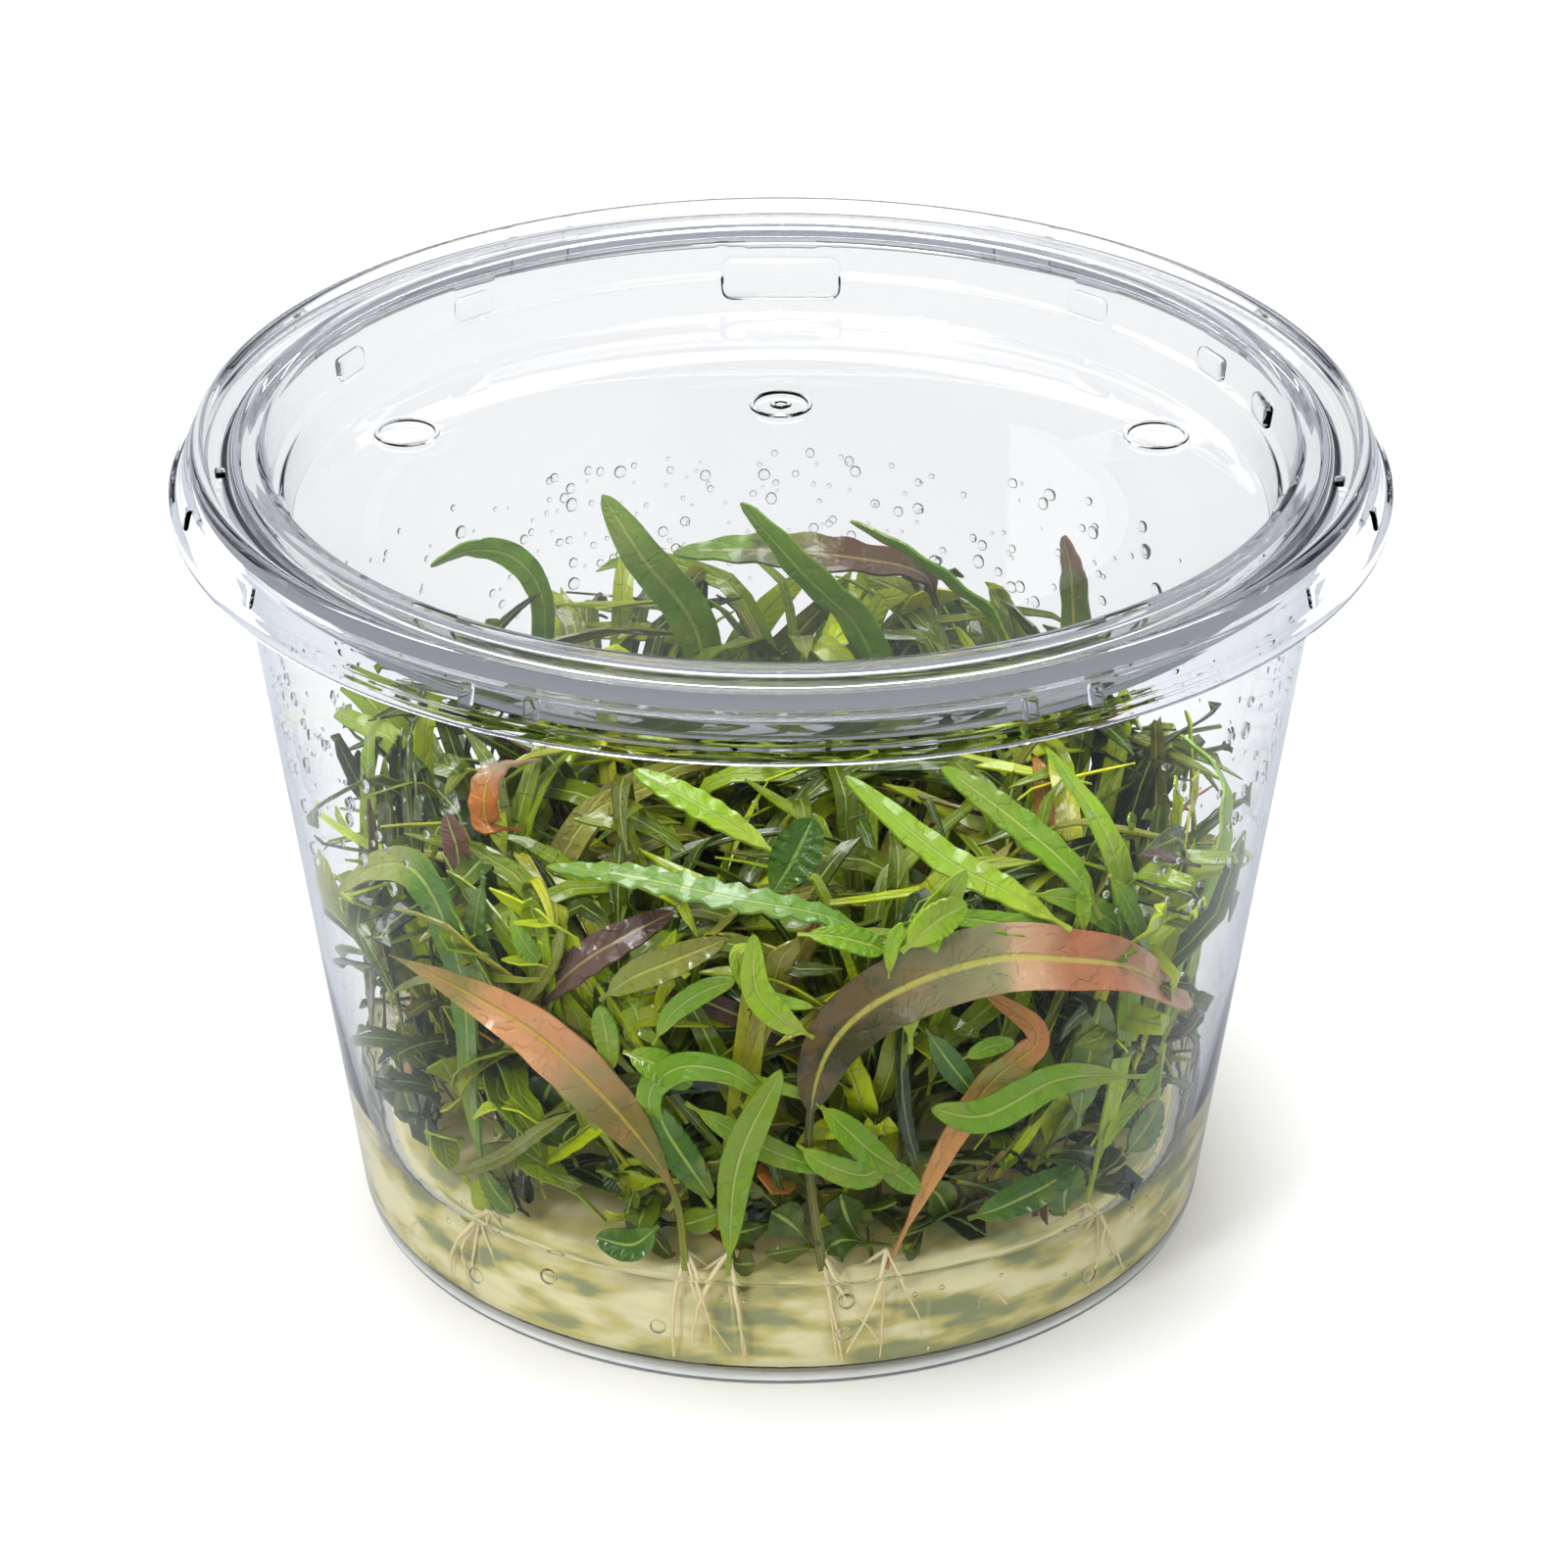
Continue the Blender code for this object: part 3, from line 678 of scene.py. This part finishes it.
narrow_blank = leaf_blank("narrow_leaf_blank", 2, 10, stalk=0.08, widest=0.45, bluntness=0.6)
spoon_blank = leaf_blank("spoon_leaf_blank", 2, 9, stalk=0.34, widest=0.66, bluntness=0.6)
fine_blank = leaf_blank("fine_leaf_blank", 4, 16, stalk=0.08, widest=0.48, bluntness=0.55)


def held_in(point, margin, top):
    """Keeps a point of a leaf in the cup, above the jelly, under its top and behind the front leaves."""
    front = min(1.0, max(0.0, 2.2 - 2.4 * abs(math.atan2(point[0], -point[1]))))
    room = wall_inner(point[2]) - margin
    room -= front * (room - 39.4)
    reach = math.hypot(point[0], point[1])
    if reach > room:
        point[:2] *= room / reach
    point[2] = max(point[2], GEL_TOP + 0.6)
    if point[2] > top:
        point[2] = top + 0.15 * (point[2] - top)
    return point


def arching_leaf(blank, foot, heading, length, width, rise, droop, swing, twist, colours, top, seed):
    """A leaf that leaves its stem at a rise, bends over by droop and swings aside, all in degrees."""
    steps = 18
    points = [np.array(foot, float)]
    for step in range(steps):
        share = step / steps
        lift = math.radians(rise - droop * share**1.3)
        turn = math.radians(heading + swing * share)
        ahead = np.array([math.cos(lift) * math.cos(turn), math.cos(lift) * math.sin(turn), math.sin(lift)])
        points.append(held_in(points[-1] + ahead * length / steps, 0.9 + 0.05 * width, top))
    spine = np.array(points)
    turns = np.radians(heading + swing * np.linspace(0, 1, steps + 1))
    level = np.stack([-np.sin(turns), np.cos(turns), 0 * turns], 1)
    upper = np.cross(unit(np.gradient(spine, axis=0), spare=1e-9), level)
    angles = np.radians(twist * np.linspace(0, 1, steps + 1))[:, None]
    sides = level * np.cos(angles) + upper * np.sin(angles)
    return lay_leaf(blank, spine, -sides, width, colours, frill=0.04, seed=seed)


def wall_leaf(blank, angle, depth, height, lean, bend, length, width, tilt, colours, seed):
    """A leaf along the inside of the wall. It leans from the level by these degrees and bends on."""
    steps = 16
    points = []
    turn = math.radians(angle)
    for step in range(steps + 1):
        points.append(held_in(np.array([depth * math.sin(turn), -depth * math.cos(turn), height]), 1.0, 46.5))
        slope = math.radians(lean + bend * step / steps)
        turn += math.cos(slope) * length / steps / depth
        height += math.sin(slope) * length / steps
    spine = np.array(points)
    tangents = unit(np.gradient(spine, axis=0) + 1e-6)
    outward = spine * np.array([1, 1, 0]) / depth
    sides = np.cross(tangents, outward)
    lift = math.radians(tilt)
    sides = sides * math.cos(lift) + np.cross(sides, tangents) * math.sin(lift)
    return lay_leaf(blank, spine, sides, width, colours, frill=0.05, seed=seed)


def tube(name, paths, sides=1):
    """Round strands along (point, radius) paths in millimetres, as one mesh with closed ends."""
    curve = bpy.data.curves.new(name, "CURVE")
    curve.dimensions = "3D"
    curve.bevel_depth = MM
    curve.bevel_resolution = sides
    curve.use_fill_caps = True
    for path in paths:
        strand = curve.splines.new("POLY")
        strand.points.add(len(path) - 1)
        for knot, (place, radius) in zip(strand.points, path):
            knot.co = (*(value * MM for value in place), 1)
            knot.radius = radius
    strands = bpy.data.objects.new(name, curve)
    bpy.context.scene.collection.objects.link(strands)
    choose(strands)
    bpy.ops.object.convert(target="MESH")
    return bpy.context.object


def paint(piece, tint):
    """One colour on every point, where a stem shares the leaves' material."""
    layer = piece.data.color_attributes.new(name="leaf_colour", type="FLOAT_COLOR", domain="POINT")
    layer.data.foreach_set("color", list(tint) * len(piece.data.vertices))


def leaf_tints(dice, height):
    """Colours from foot to tip for a leaf that starts at this height: the low ones are deeper green."""
    names, weights = list(MIXTURE), list(MIXTURE.values())
    if height < 20:
        weights[0] *= 5
    body = np.array(GREENS[dice.choices(names, weights)[0]]) * dice.uniform(0.25, 1.3)
    tip = body * dice.uniform(0.7, 1.25)
    foot = 0.5 * body + 0.5 * np.array(GREENS["lime"]) * dice.uniform(0.5, 1.0)
    return [(0.0, foot), (0.25, body), (0.7, body), (1.0, tip)]


def crowns():
    for count, radius, first in RINGS:
        for index in range(count):
            angle = math.radians(first + 360 * index / count)
            yield radius * math.cos(angle), radius * math.sin(angle)


def lean_of(dice, low):
    """How a wall leaf leans: any way when low, else upwards to one side or the other."""
    return dice.uniform(0, 360) if low else dice.choice((dice.uniform(35, 80), dice.uniform(100, 145)))


def grow_plantlet(number, crown_x, crown_y):
    dice = random.Random(100 + number)
    leaves = []
    stem = [((crown_x, crown_y, 7.8), 1.1), ((crown_x, crown_y, 12), 1.1), ((crown_x, crown_y, 24), 0.75)]
    stem = tube("stem", [stem], sides=2)
    paint(stem, srgb(150, 160, 80))
    outer = math.hypot(crown_x, crown_y) > 20
    for index in range(OUTER_LEAVES if outer else INNER_LEAVES):
        level = index % 7
        low, mid = level < 3, level in (3, 4)
        start = dice.uniform(12.2, 20) if low else dice.uniform(14, 26)
        heading = 137.5 * index + dice.uniform(-25, 25) + 50 * number
        turn = math.radians(heading + dice.uniform(-90, 90))
        aside = dice.uniform(0, 9 if low else 4)
        foot = (crown_x + aside * math.cos(turn), crown_y + aside * math.sin(turn), start)
        kinds = (spoon_blank, spoon_blank, narrow_blank) if low else (narrow_blank, narrow_blank, fine_blank)
        leaves.append(
            arching_leaf(
                dice.choice(kinds),
                foot,
                heading,
                length=dice.uniform(7, 14) if low else dice.uniform(18, 32) if mid else dice.uniform(32, 52),
                width=dice.uniform(2.6, 4.2) if low else dice.choice((1.0, 1.8, 2.2, 2.6, 2.8, 3.2)),
                rise=dice.uniform(10, 75) if low else dice.uniform(50, 85) if mid else dice.uniform(68, 90),
                droop=dice.uniform(10, 80) if low else dice.uniform(20, 130),
                swing=dice.uniform(-50, 50),
                twist=dice.uniform(-60, 60),
                colours=leaf_tints(dice, 14 if low else 30),
                top=dice.uniform(30, 40) if mid else dice.uniform(40, 47.5),
                seed=index,
            )
        )
    for index in range(WALL_LEAVES if outer else 0):
        low = index % 2
        crown_angle = math.degrees(math.atan2(crown_x, -crown_y))
        leaves.append(
            wall_leaf(
                spoon_blank if low else dice.choice((narrow_blank, fine_blank)),
                crown_angle + dice.uniform(-26, 26),
                depth=dice.uniform(36.5, 40) if low else dice.uniform(35, 42),
                height=dice.uniform(12.5, 21) if low else dice.uniform(14, 34),
                lean=lean_of(dice, low),
                bend=dice.uniform(-50, 50),
                length=dice.uniform(6, 11) if low else dice.uniform(16, 36),
                width=dice.uniform(2.8, 4.4) if low else dice.choice((1.0, 2.0, 2.4, 2.8, 3.4)),
                tilt=dice.uniform(-40, 40),
                colours=leaf_tints(dice, 14 if low else 30),
                seed=index,
            )
        )
    blades = join(leaves, "blades")
    thicken(blades, LEAF_THICKNESS)
    plantlet = join([blades, stem], f"plantlet_{number:02d}_leaves")
    wear(plantlet, green_leaf)
    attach(plantlet, "root")
    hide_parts(f"plantlet_{number:02d}")


for number, (crown_x, crown_y) in enumerate(crowns(), start=1):
    grow_plantlet(number, crown_x, crown_y)

# Single leaves. The large ones that lie on and stand out of the mass, each bent along its own line and in its
# own colours, from fresh lime green to bronze, salmon and purple-brown where they are ageing. On the bronze
# arch a grey-olive stretch is a painted wet sheen.
long_blank = leaf_blank("long_leaf_blank", 8, 44, stalk=0.1, widest=0.5, bluntness=0.5)
arch_blank = leaf_blank("arching_leaf_blank", 8, 52, stalk=0.2, widest=0.46, bluntness=0.36)
stalked_blank = leaf_blank("stalked_leaf_blank", 8, 52, stalk=0.2, widest=0.42, bluntness=1.2)
blunt_blank = leaf_blank("blunt_leaf_blank", 8, 36, stalk=0.05, widest=0.6, bluntness=0.5)


def along_route(blank, route, width, face_up, colours, frill, waves):
    """A leaf laid along its route, its blade turned from outwards (0) to upwards (1) by face_up."""
    spine = smooth_route(route, 60)
    outward = unit(spine * np.array([1, 1, 0]))
    facing = outward * (1 - face_up) + np.array([0, 0, face_up])
    sides = unit(np.cross(np.gradient(spine, axis=0), facing))
    for index in range(1, len(sides)):
        if np.dot(sides[index], sides[index - 1]) < 0:
            sides[index] *= -1
    tints = [(share, srgb(*rgb)) for share, rgb in colours]
    return lay_leaf(blank, spine, sides, width, tints, frill, waves)


bronze_leaf = leaf_material("bronze_ageing_leaf", srgb(206, 198, 92), srgb(160, 122, 70), 0.3)
orange_leaf = leaf_material("orange_ageing_leaf", srgb(200, 170, 60), srgb(206, 136, 84), 0.3)
brown_leaf = leaf_material("purple_brown_leaf", srgb(170, 150, 90), srgb(70, 44, 34), 0.6)
wet_leaf = leaf_material("wet_dark_leaf", srgb(150, 180, 90), srgb(70, 96, 60), 0.5)

FRESH = [(0, (176, 196, 60)), (0.3, (130, 172, 30)), (0.8, (118, 162, 30)), (1, (140, 176, 40))]
LIME = [(0, (196, 212, 70)), (0.4, (166, 200, 44)), (1, (150, 188, 44))]
DEEP = [(0, (120, 150, 50)), (0.4, (76, 118, 28)), (1, (70, 110, 30))]


def routed_leaf(
    name, route, colours=FRESH, blank=long_blank, width=3.6, face_up=0.4,
    material=green_leaf, frill=0.05, waves=8.0,
):
    """One large leaf in place of its solid, in colours that run from foot to tip."""
    leaf = along_route(blank, route, width, face_up, colours, frill, waves)
    thicken(leaf, LARGE_LEAF_THICKNESS)
    leaf.name = leaf.data.name = name + "_blade"
    wear(leaf, material)
    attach(leaf, "root")
    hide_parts(name)


routed_leaf(
    "leaf_bronze_arch",
    [
        (4, -39.5, 12), (2.6, -40.6, 25), (3.5, -41.7, 35.2), (6.9, -41.3, 40.9), (13.3, -40.1, 44.4),
        (20.3, -37.4, 45), (25.9, -34.6, 43.3), (33, -29.6, 39.4), (39.3, -21, 30.5),
    ],
    # Colours from foot to tip: the grey-olive stretch near the middle is a painted wet sheen; the dark foot,
    # bronze and salmon are its own.
    [
        (0, (130, 130, 60)), (0.25, (62, 60, 24)), (0.4, (72, 70, 32)), (0.48, (128, 122, 82)),
        (0.62, (158, 154, 110)), (0.65, (222, 182, 146)), (0.71, (218, 170, 132)), (0.76, (200, 128, 86)),
        (0.84, (198, 124, 84)), (0.9, (228, 172, 134)), (1, (220, 160, 118)),
    ],
    blank=arch_blank, width=6.6, material=bronze_leaf,
)
routed_leaf(
    "leaf_orange_left",
    [
        (-9, -39.5, 12), (-9.9, -40.2, 20.6), (-13.2, -39.6, 26.8), (-18.4, -38, 32.6), (-23.6, -36.2, 36.8),
        (-30.8, -32, 39.1), (-37, -25.2, 38.4),
    ],
    [
        (0, (160, 170, 60)), (0.2, (120, 124, 40)), (0.4, (134, 116, 50)), (0.48, (150, 140, 84)),
        (0.58, (222, 168, 118)), (0.74, (224, 160, 104)), (0.82, (150, 140, 62)), (1, (160, 146, 84)),
    ],
    blank=stalked_blank, width=5.4, face_up=0.35, material=orange_leaf,
)
routed_leaf(
    "leaf_ragged_top",
    [(9, -37, 46.5), (4, -37.5, 49.5), (-5, -36.5, 51), (-14, -32.5, 51), (-22, -27, 49)],
    [(0, (110, 160, 40)), (0.5, (120, 160, 70)), (1, (130, 170, 60))],
    width=3.4, face_up=0.8, frill=0.12, waves=14,
)
routed_leaf(
    "leaf_orange_bent",
    [(10, -39.3, 12), (15, -38.8, 24), (19.2, -37.2, 31), (24, -34.8, 35), (19, -36.6, 41)],
    [
        (0, (222, 172, 104)), (0.4, (218, 150, 88)), (0.55, (150, 150, 60)), (0.7, (206, 136, 76)),
        (1, (196, 140, 76)),
    ],
    width=2.8, face_up=0.3, material=orange_leaf,
)
routed_leaf(
    "leaf_green_right_front",
    [(34.6, -27, 26), (26.2, -35, 30.5), (19, -39.9, 29.5), (14, -41.3, 31)],
    width=3.5, face_up=0.3,
)
routed_leaf(
    "leaf_serrated_front",
    [(-5, -40.3, 12), (-4, -43, 26), (0, -44.3, 37)],
    width=3.3, face_up=0.2, waves=12,
)
routed_leaf(
    "leaf_curled_front",
    [
        (-6.5, -39.5, 19), (-11, -39.1, 26), (-12.2, -39.3, 31.5), (-9.2, -40.3, 35), (-4.5, -41.2, 34.8),
        (-1, -41.8, 32),
    ],
    width=2.8, face_up=0.3,
)
routed_leaf(
    "leaf_upright_left",
    [
        (-28, -28.8, 12), (-29.5, -28.8, 25), (-30, -28.7, 38), (-33.5, -26, 47), (-38, -19.5, 45),
        (-43, -12.5, 38),
    ],
    [
        (0, (140, 170, 60)), (0.3, (84, 136, 34)), (0.6, (96, 140, 40)), (0.75, (170, 176, 80)),
        (1, (196, 190, 100)),
    ],
    width=3.8, face_up=0.35,
)
routed_leaf(
    "leaf_purple_brown",
    [(-23, -33, 37), (-18, -36, 44), (-10, -33, 47.5)],
    [(0, (100, 90, 60)), (0.4, (110, 84, 74)), (1, (92, 62, 54))],
    face_up=0.5, material=brown_leaf,
)
routed_leaf(
    "leaf_tall_back_left",
    [(-7, 25, 12), (-8, 26, 30), (-8.5, 26, 46), (-14, 24, 56), (-18, 26, 62)],
    width=4.6,
)
routed_leaf(
    "leaf_tall_centre",
    [(10, 22, 12), (10, 22, 30), (9, 21, 47), (2, 19, 57), (-4, 22, 63)],
    width=4.6,
)
routed_leaf(
    "leaf_tall_right",
    [(23, 11, 12), (24, 12, 38), (22.5, 19, 49), (15, 21, 56), (7, 24, 60)],
    width=4.6, face_up=0.5,
)
routed_leaf(
    "leaf_back_level",
    [(16, 29, 48), (14, 28.5, 52), (6, 26, 55), (-3, 27.5, 55), (-11, 31, 53)],
    [
        (0, (116, 128, 44)), (0.2, (104, 84, 50)), (0.5, (108, 76, 50)), (0.62, (140, 140, 56)),
        (0.7, (122, 156, 44)), (1, (128, 164, 50)),
    ],
    width=5.0, face_up=1.5, material=brown_leaf,
)
routed_leaf(
    "leaf_arch_back_left",
    [
        (-24, 32, 12), (-24, 32.5, 33), (-24.5, 31.5, 47), (-27.2, 30.6, 52.6), (-31.5, 30.2, 53.8),
        (-35.5, 30.4, 52),
    ],
    width=2.8, face_up=0.15,
)
routed_leaf(
    "leaf_red_tip_right",
    [(27, 30.5, 12), (29, 32, 35), (30, 33, 48), (29, 31, 55)],
    [(0, (110, 150, 50)), (0.7, (120, 140, 50)), (0.82, (160, 110, 80)), (1, (150, 96, 76))],
    width=3.4, face_up=0.2, material=bronze_leaf,
)
routed_leaf(
    "leaf_rim_right",
    [(29.5, -27.5, 12), (32, -26, 25), (33, -25, 37), (31, -25, 50), (25, -17, 57)],
    LIME,
)
routed_leaf(
    "leaf_rim_middle",
    [(30, -29, 44.5), (27, -29.5, 50), (21, -26.5, 54.5), (15, -23, 58)],
    face_up=0.5,
)
routed_leaf(
    "leaf_rim_front",
    [(27, -33, 45.5), (21, -32, 49), (15, -29.5, 51.5), (6, -23, 57)],
    LIME, face_up=0.6,
)
routed_leaf("leaf_rim_left", [(0, -21, 47), (-7, -18, 50.5), (-14, -14, 53)], LIME, width=3.4, face_up=0.8)
routed_leaf(
    "leaf_light_spoon",
    [(12, -39.5, 36), (12.3, -39, 46), (17, -36.5, 54)],
    LIME, face_up=0.3,
)
routed_leaf(
    "leaf_small_curl",
    [(3, -41.7, 39), (0, -42.5, 41.5), (-2.3, -42.7, 45), (-2.5, -40.8, 49.5)],
    LIME, width=2.8,
)
routed_leaf(
    "leaf_thin_brown",
    [(40, -18, 44), (36.5, -23.5, 48), (33.5, -27.5, 50.5)],
    [(0, (96, 74, 60)), (1, (120, 100, 84))],
    width=1.6, face_up=0.7, material=brown_leaf,
)
routed_leaf(
    "leaf_curled_orange",
    [(-25, -13, 45.5), (-28, -15, 47.5), (-27.5, -12, 51.5), (-23, -7, 50.5)],
    [(0, (190, 120, 40)), (0.5, (204, 120, 40)), (0.7, (180, 150, 120)), (1, (190, 160, 130))],
    face_up=0.6, material=orange_leaf,
)
routed_leaf(
    "leaf_right_edge",
    [(36.5, -17, 12), (38, -15.5, 30), (42, -12, 40), (43, -6, 46.5), (39, 1, 49)],
    LIME, width=3.0, face_up=0.3,
)
routed_leaf(
    "leaf_dark_wet",
    [(-1, -30, 47.5), (1, -29.5, 51), (3, -28, 55)],
    DEEP, blank=blunt_blank, width=4.6, face_up=0.5, material=wet_leaf,
)

# The small leaves that lie against the front: look, width and route of each.
TRACED = {
    "front_leaves_upper": [
        ("wet", 2.8, [(-27.7, -29.7, 49.4), (-28.6, -28.8, 43.6), (-28.5, -28.9, 37.6)]),
        ("olive", 3.2, [(-16.8, -37.2, 40.4), (-13.7, -38.6, 43.6), (-10, -39.7, 46), (-5.1, -40.1, 48.5)]),
        (
            "lime",
            2.0,
            [(-2.1, -41.1, 48.9), (-3.9, -41, 47.7), (-3.3, -41.1, 45.3), (-1.5, -41.2, 43)]
            + [(3, -41.1, 41.9)],
        ),
        ("fresh", 2.2, [(-11.9, -38.8, 36.5), (-10, -39.5, 40.4), (-7, -40.2, 43.2), (-4.2, -40.6, 44.5)]),
        ("fresh", 2.2, [(-25.4, -31.4, 46.7), (-23.6, -33, 43.7), (-22.4, -34, 42.8)]),
        ("olive", 2.2, [(-19.8, -35, 48.2), (-21.1, -34.8, 43.6), (-23, -33.6, 39.7), (-25, -32.4, 36.3)]),
        ("lime", 3.6, [(11.1, -39.9, 47.1), (13.2, -39.4, 49.2), (15, -38.8, 50.4), (17.1, -37.7, 51)]),
        ("lime", 1.4, [(9.9, -40.4, 44.6), (10.2, -40.3, 48), (11.1, -39.9, 50.2)]),
        (
            "fresh",
            2.4,
            [(12, -37, 49.4), (16.6, -36.6, 48.8), (21.6, -34.8, 47), (26.7, -31.8, 44.3), (30, -28.4, 41.4)],
        ),
        ("fresh", 2.6, [(23, -33, 49.4), (27.2, -30.6, 47.4), (31.2, -27.3, 43.1), (34.5, -23.7, 36.8)]),
        ("lime", 1.8, [(28.3, -30.4, 43.6), (28.2, -30.3, 46.4), (28.1, -29.6, 49)]),
        ("fresh", 2.6, [(1.5, -40.6, 49.4), (5.1, -40.6, 49.1), (8.1, -40.2, 48), (9.3, -39.9, 47.2)]),
        ("fresh", 2.2, [(30.7, -29.4, 49.4), (32.5, -27.8, 45.3), (34.8, -25.4, 38.7)]),
    ],
    "front_leaves_middle": [
        ("deep", 3.6, [(-12, -38.8, 31.3), (-10.8, -39.5, 27.9), (-8.9, -40, 24.6), (-6.5, -40.3, 20.6)]),
        ("fresh", 3.2, [(-14.7, -38, 35.3), (-11.3, -39.4, 34.6), (-8.3, -39.7, 32.6)]),
        ("fresh", 2.6, [(-8.9, -39.8, 30.8), (-4.6, -40.9, 28.4), (-0.3, -41.4, 26.1), (4.6, -41.2, 24.1)]),
        ("lime", 1.2, [(-5.5, -40.6, 35.5), (-2.1, -41, 33.9), (1.2, -41.2, 32.9), (4, -41.2, 31.7)]),
        ("fresh", 2.6, [(-15.7, -37.8, 32.3), (-16.2, -37.6, 36.8), (-16.8, -37.2, 39.8)]),
        ("wet", 4.6, [(28.1, -31, 22.6), (28.7, -30.6, 27.8), (29.5, -29.9, 32.3), (30.1, -29.4, 35.9)]),
        ("deep", 2.6, [(13.4, -38.9, 38.3), (15.6, -38.2, 34.3), (18.2, -37.2, 30)]),
        ("fresh", 1.8, [(16.9, -37.9, 34.4), (19.3, -36.9, 35.1), (21.8, -35.5, 34.9)]),
        ("olive", 1.8, [(-18.8, -37.2, 28.7), (-22.7, -35, 24.7), (-26.6, -32.2, 20), (-31.3, -28, 15.5)]),
        ("lime", 1.6, [(36.4, -21, 25), (38.1, -18.8, 29.2), (40.2, -15.1, 34.2), (42, -10, 42)]),
    ],
    "front_leaves_low": [
        ("deep", 2.6, [(-28.6, -29.8, 17.9), (-27.4, -30.8, 15.7), (-25.5, -32.2, 13.8)]),
        ("deep", 3.2, [(-11.5, -39.2, 16.8), (-14, -38.6, 14.3), (-17.5, -37.2, 14.2)]),
        ("fresh", 3.0, [(3.3, -41.5, 31.9), (5.8, -41.6, 29.2), (8.3, -41.4, 26.4), (11.1, -40.7, 23.8)]),
        ("fresh", 2.8, [(1.5, -41.4, 27.2), (4, -41.6, 25.3), (7.7, -41.3, 23.8), (10.1, -40.7, 25)]),
        ("fresh", 2.4, [(8.9, -40.8, 25), (10.8, -40.5, 23.3), (13, -39.7, 21)]),
        ("deep", 3.2, [(17.7, -37.5, 16.5), (20.9, -36.2, 16.9), (24.7, -33.8, 17.5), (28.3, -30.9, 18.1)]),
        ("deep", 4.4, [(27.1, -31, 12.8), (27, -31.6, 15.5), (27.9, -31.2, 18.7)]),
        ("wet", 3.2, [(33.2, -25.7, 16.4), (34.9, -23.4, 17.5), (36.9, -20, 18.8)]),
        ("lime", 1.6, [(30.5, -28.3, 17.6), (32.1, -26.4, 20.1), (35.1, -22.3, 22), (36.5, -19.9, 22.9)]),
    ],
}
LOOKS = {
    "fresh": FRESH,
    "lime": LIME,
    "deep": DEEP,
    "wet": [(0, (120, 150, 74)), (1, (104, 136, 60))],
    "olive": [(0, (150, 158, 60)), (1, (132, 130, 50))],
}
for name, leaves in TRACED.items():
    laid = []
    for index, (look, width, route) in enumerate(leaves):
        face_up = 0.15 + 0.2 * (index % 3)
        laid.append(along_route(long_blank, route, width, face_up, LOOKS[look], frill=0.05, waves=9.0))
    laid = join(laid, name)
    thicken(laid, LARGE_LEAF_THICKNESS)
    wear(laid, green_leaf)
    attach(laid, "root")

for blank in (narrow_blank, spoon_blank, fine_blank, long_blank, arch_blank, stalked_blank, blunt_blank):
    bpy.data.objects.remove(blank, do_unlink=True)

# Roots. Thin cream roots that grow from each plant's foot into and over the jelly.
FRONT_FEET = ((4, -39.2), (-9, -39.2), (10, -39.0), (-5, -39.8), (-28, -28.6), (29.5, -27.3))
ROOTS_EACH, ROOT_STEP = 6, 1.3
dice = random.Random(11)
paths = []
for x, y in list(crowns()) + list(FRONT_FEET):
    at_front = (x, y) in FRONT_FEET
    for _ in range(ROOTS_EACH):
        heading = dice.uniform(0, 360)
        drop = dice.uniform(45, 85) if at_front else dice.uniform(15, 60)
        place = np.array([x, y, 12.0 if abs(y) < 38 else 14.0])
        thickness = dice.uniform(0.14, 0.32)
        steps = 10 if at_front else 14
        path = []
        for step in range(steps):
            path.append((tuple(place), thickness * (1 - 0.6 * step / steps)))
            heading += dice.uniform(-22, 22)
            fall, turn = math.radians(drop), math.radians(heading)
            ahead = [math.cos(fall) * math.cos(turn), math.cos(fall) * math.sin(turn), -math.sin(fall)]
            place = place + ROOT_STEP * np.array(ahead)
            room = wall_inner(max(place[2], 2)) - 0.8
            reach = math.hypot(place[0], place[1])
            if reach > room:
                place[:2] *= room / reach
            if place[2] < 2.6:
                place[2], drop = 2.6, 0
        paths.append(path)
roots = tube("cream_roots", paths)
smooth(roots, 80)
root_skin, tree = new_material("cream_root_skin")
grain = noise(tree, 300.0, Detail=3.0)
shade = blend(tree, grain, srgb(248, 240, 204), srgb(230, 212, 158))
relief = bumps(tree, grain, 0.3, 0.1)
skin = node(tree, "ShaderNodeBsdfPrincipled", {"Base Color": shade, "Roughness": 0.45, "Normal": relief})
glow = node(tree, "ShaderNodeBsdfTranslucent", {"Color": shade})
to_surface(tree, mix_shaders(tree, 0.35, skin, glow))
wear(roots, root_skin)
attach(roots, "root")

# Condensation. Small beads of water that cling to the inside of the wall above the plants.
DROPS = 460
dice = random.Random(5)
drops = []
for index in range(DROPS):
    back = index % 5 < 3
    angle = dice.gauss(180, 42) if back else dice.choice((-1, 1)) * dice.gauss(66, 12)
    height = dice.uniform(42, 56) if back else dice.uniform(44, 70)
    radius = 0.18 + 0.55 * dice.random() ** 2.2
    bpy.ops.mesh.primitive_uv_sphere_add(
        segments=12,
        ring_count=7,
        radius=radius * MM,
        location=around(angle, wall_inner(height) - 0.12 * radius, height),
        rotation=(0, 0, math.radians(angle)),
        scale=(1, 0.5, dice.uniform(1.0, 1.25)),
    )
    drops.append(settle())
drops = join(drops, "condensation_drops")
smooth(drops, 80)
water, tree = new_material("clear_water")
wet = clear_body(tree, (1, 1, 1, 1), 1.33, 1.0, bumps(tree, noise(tree, 700.0), 0.1, 0.05))
to_surface(tree, let_light_through(tree, wet, (1, 1, 1, 1)))
wear(drops, water)
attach(drops, "root")
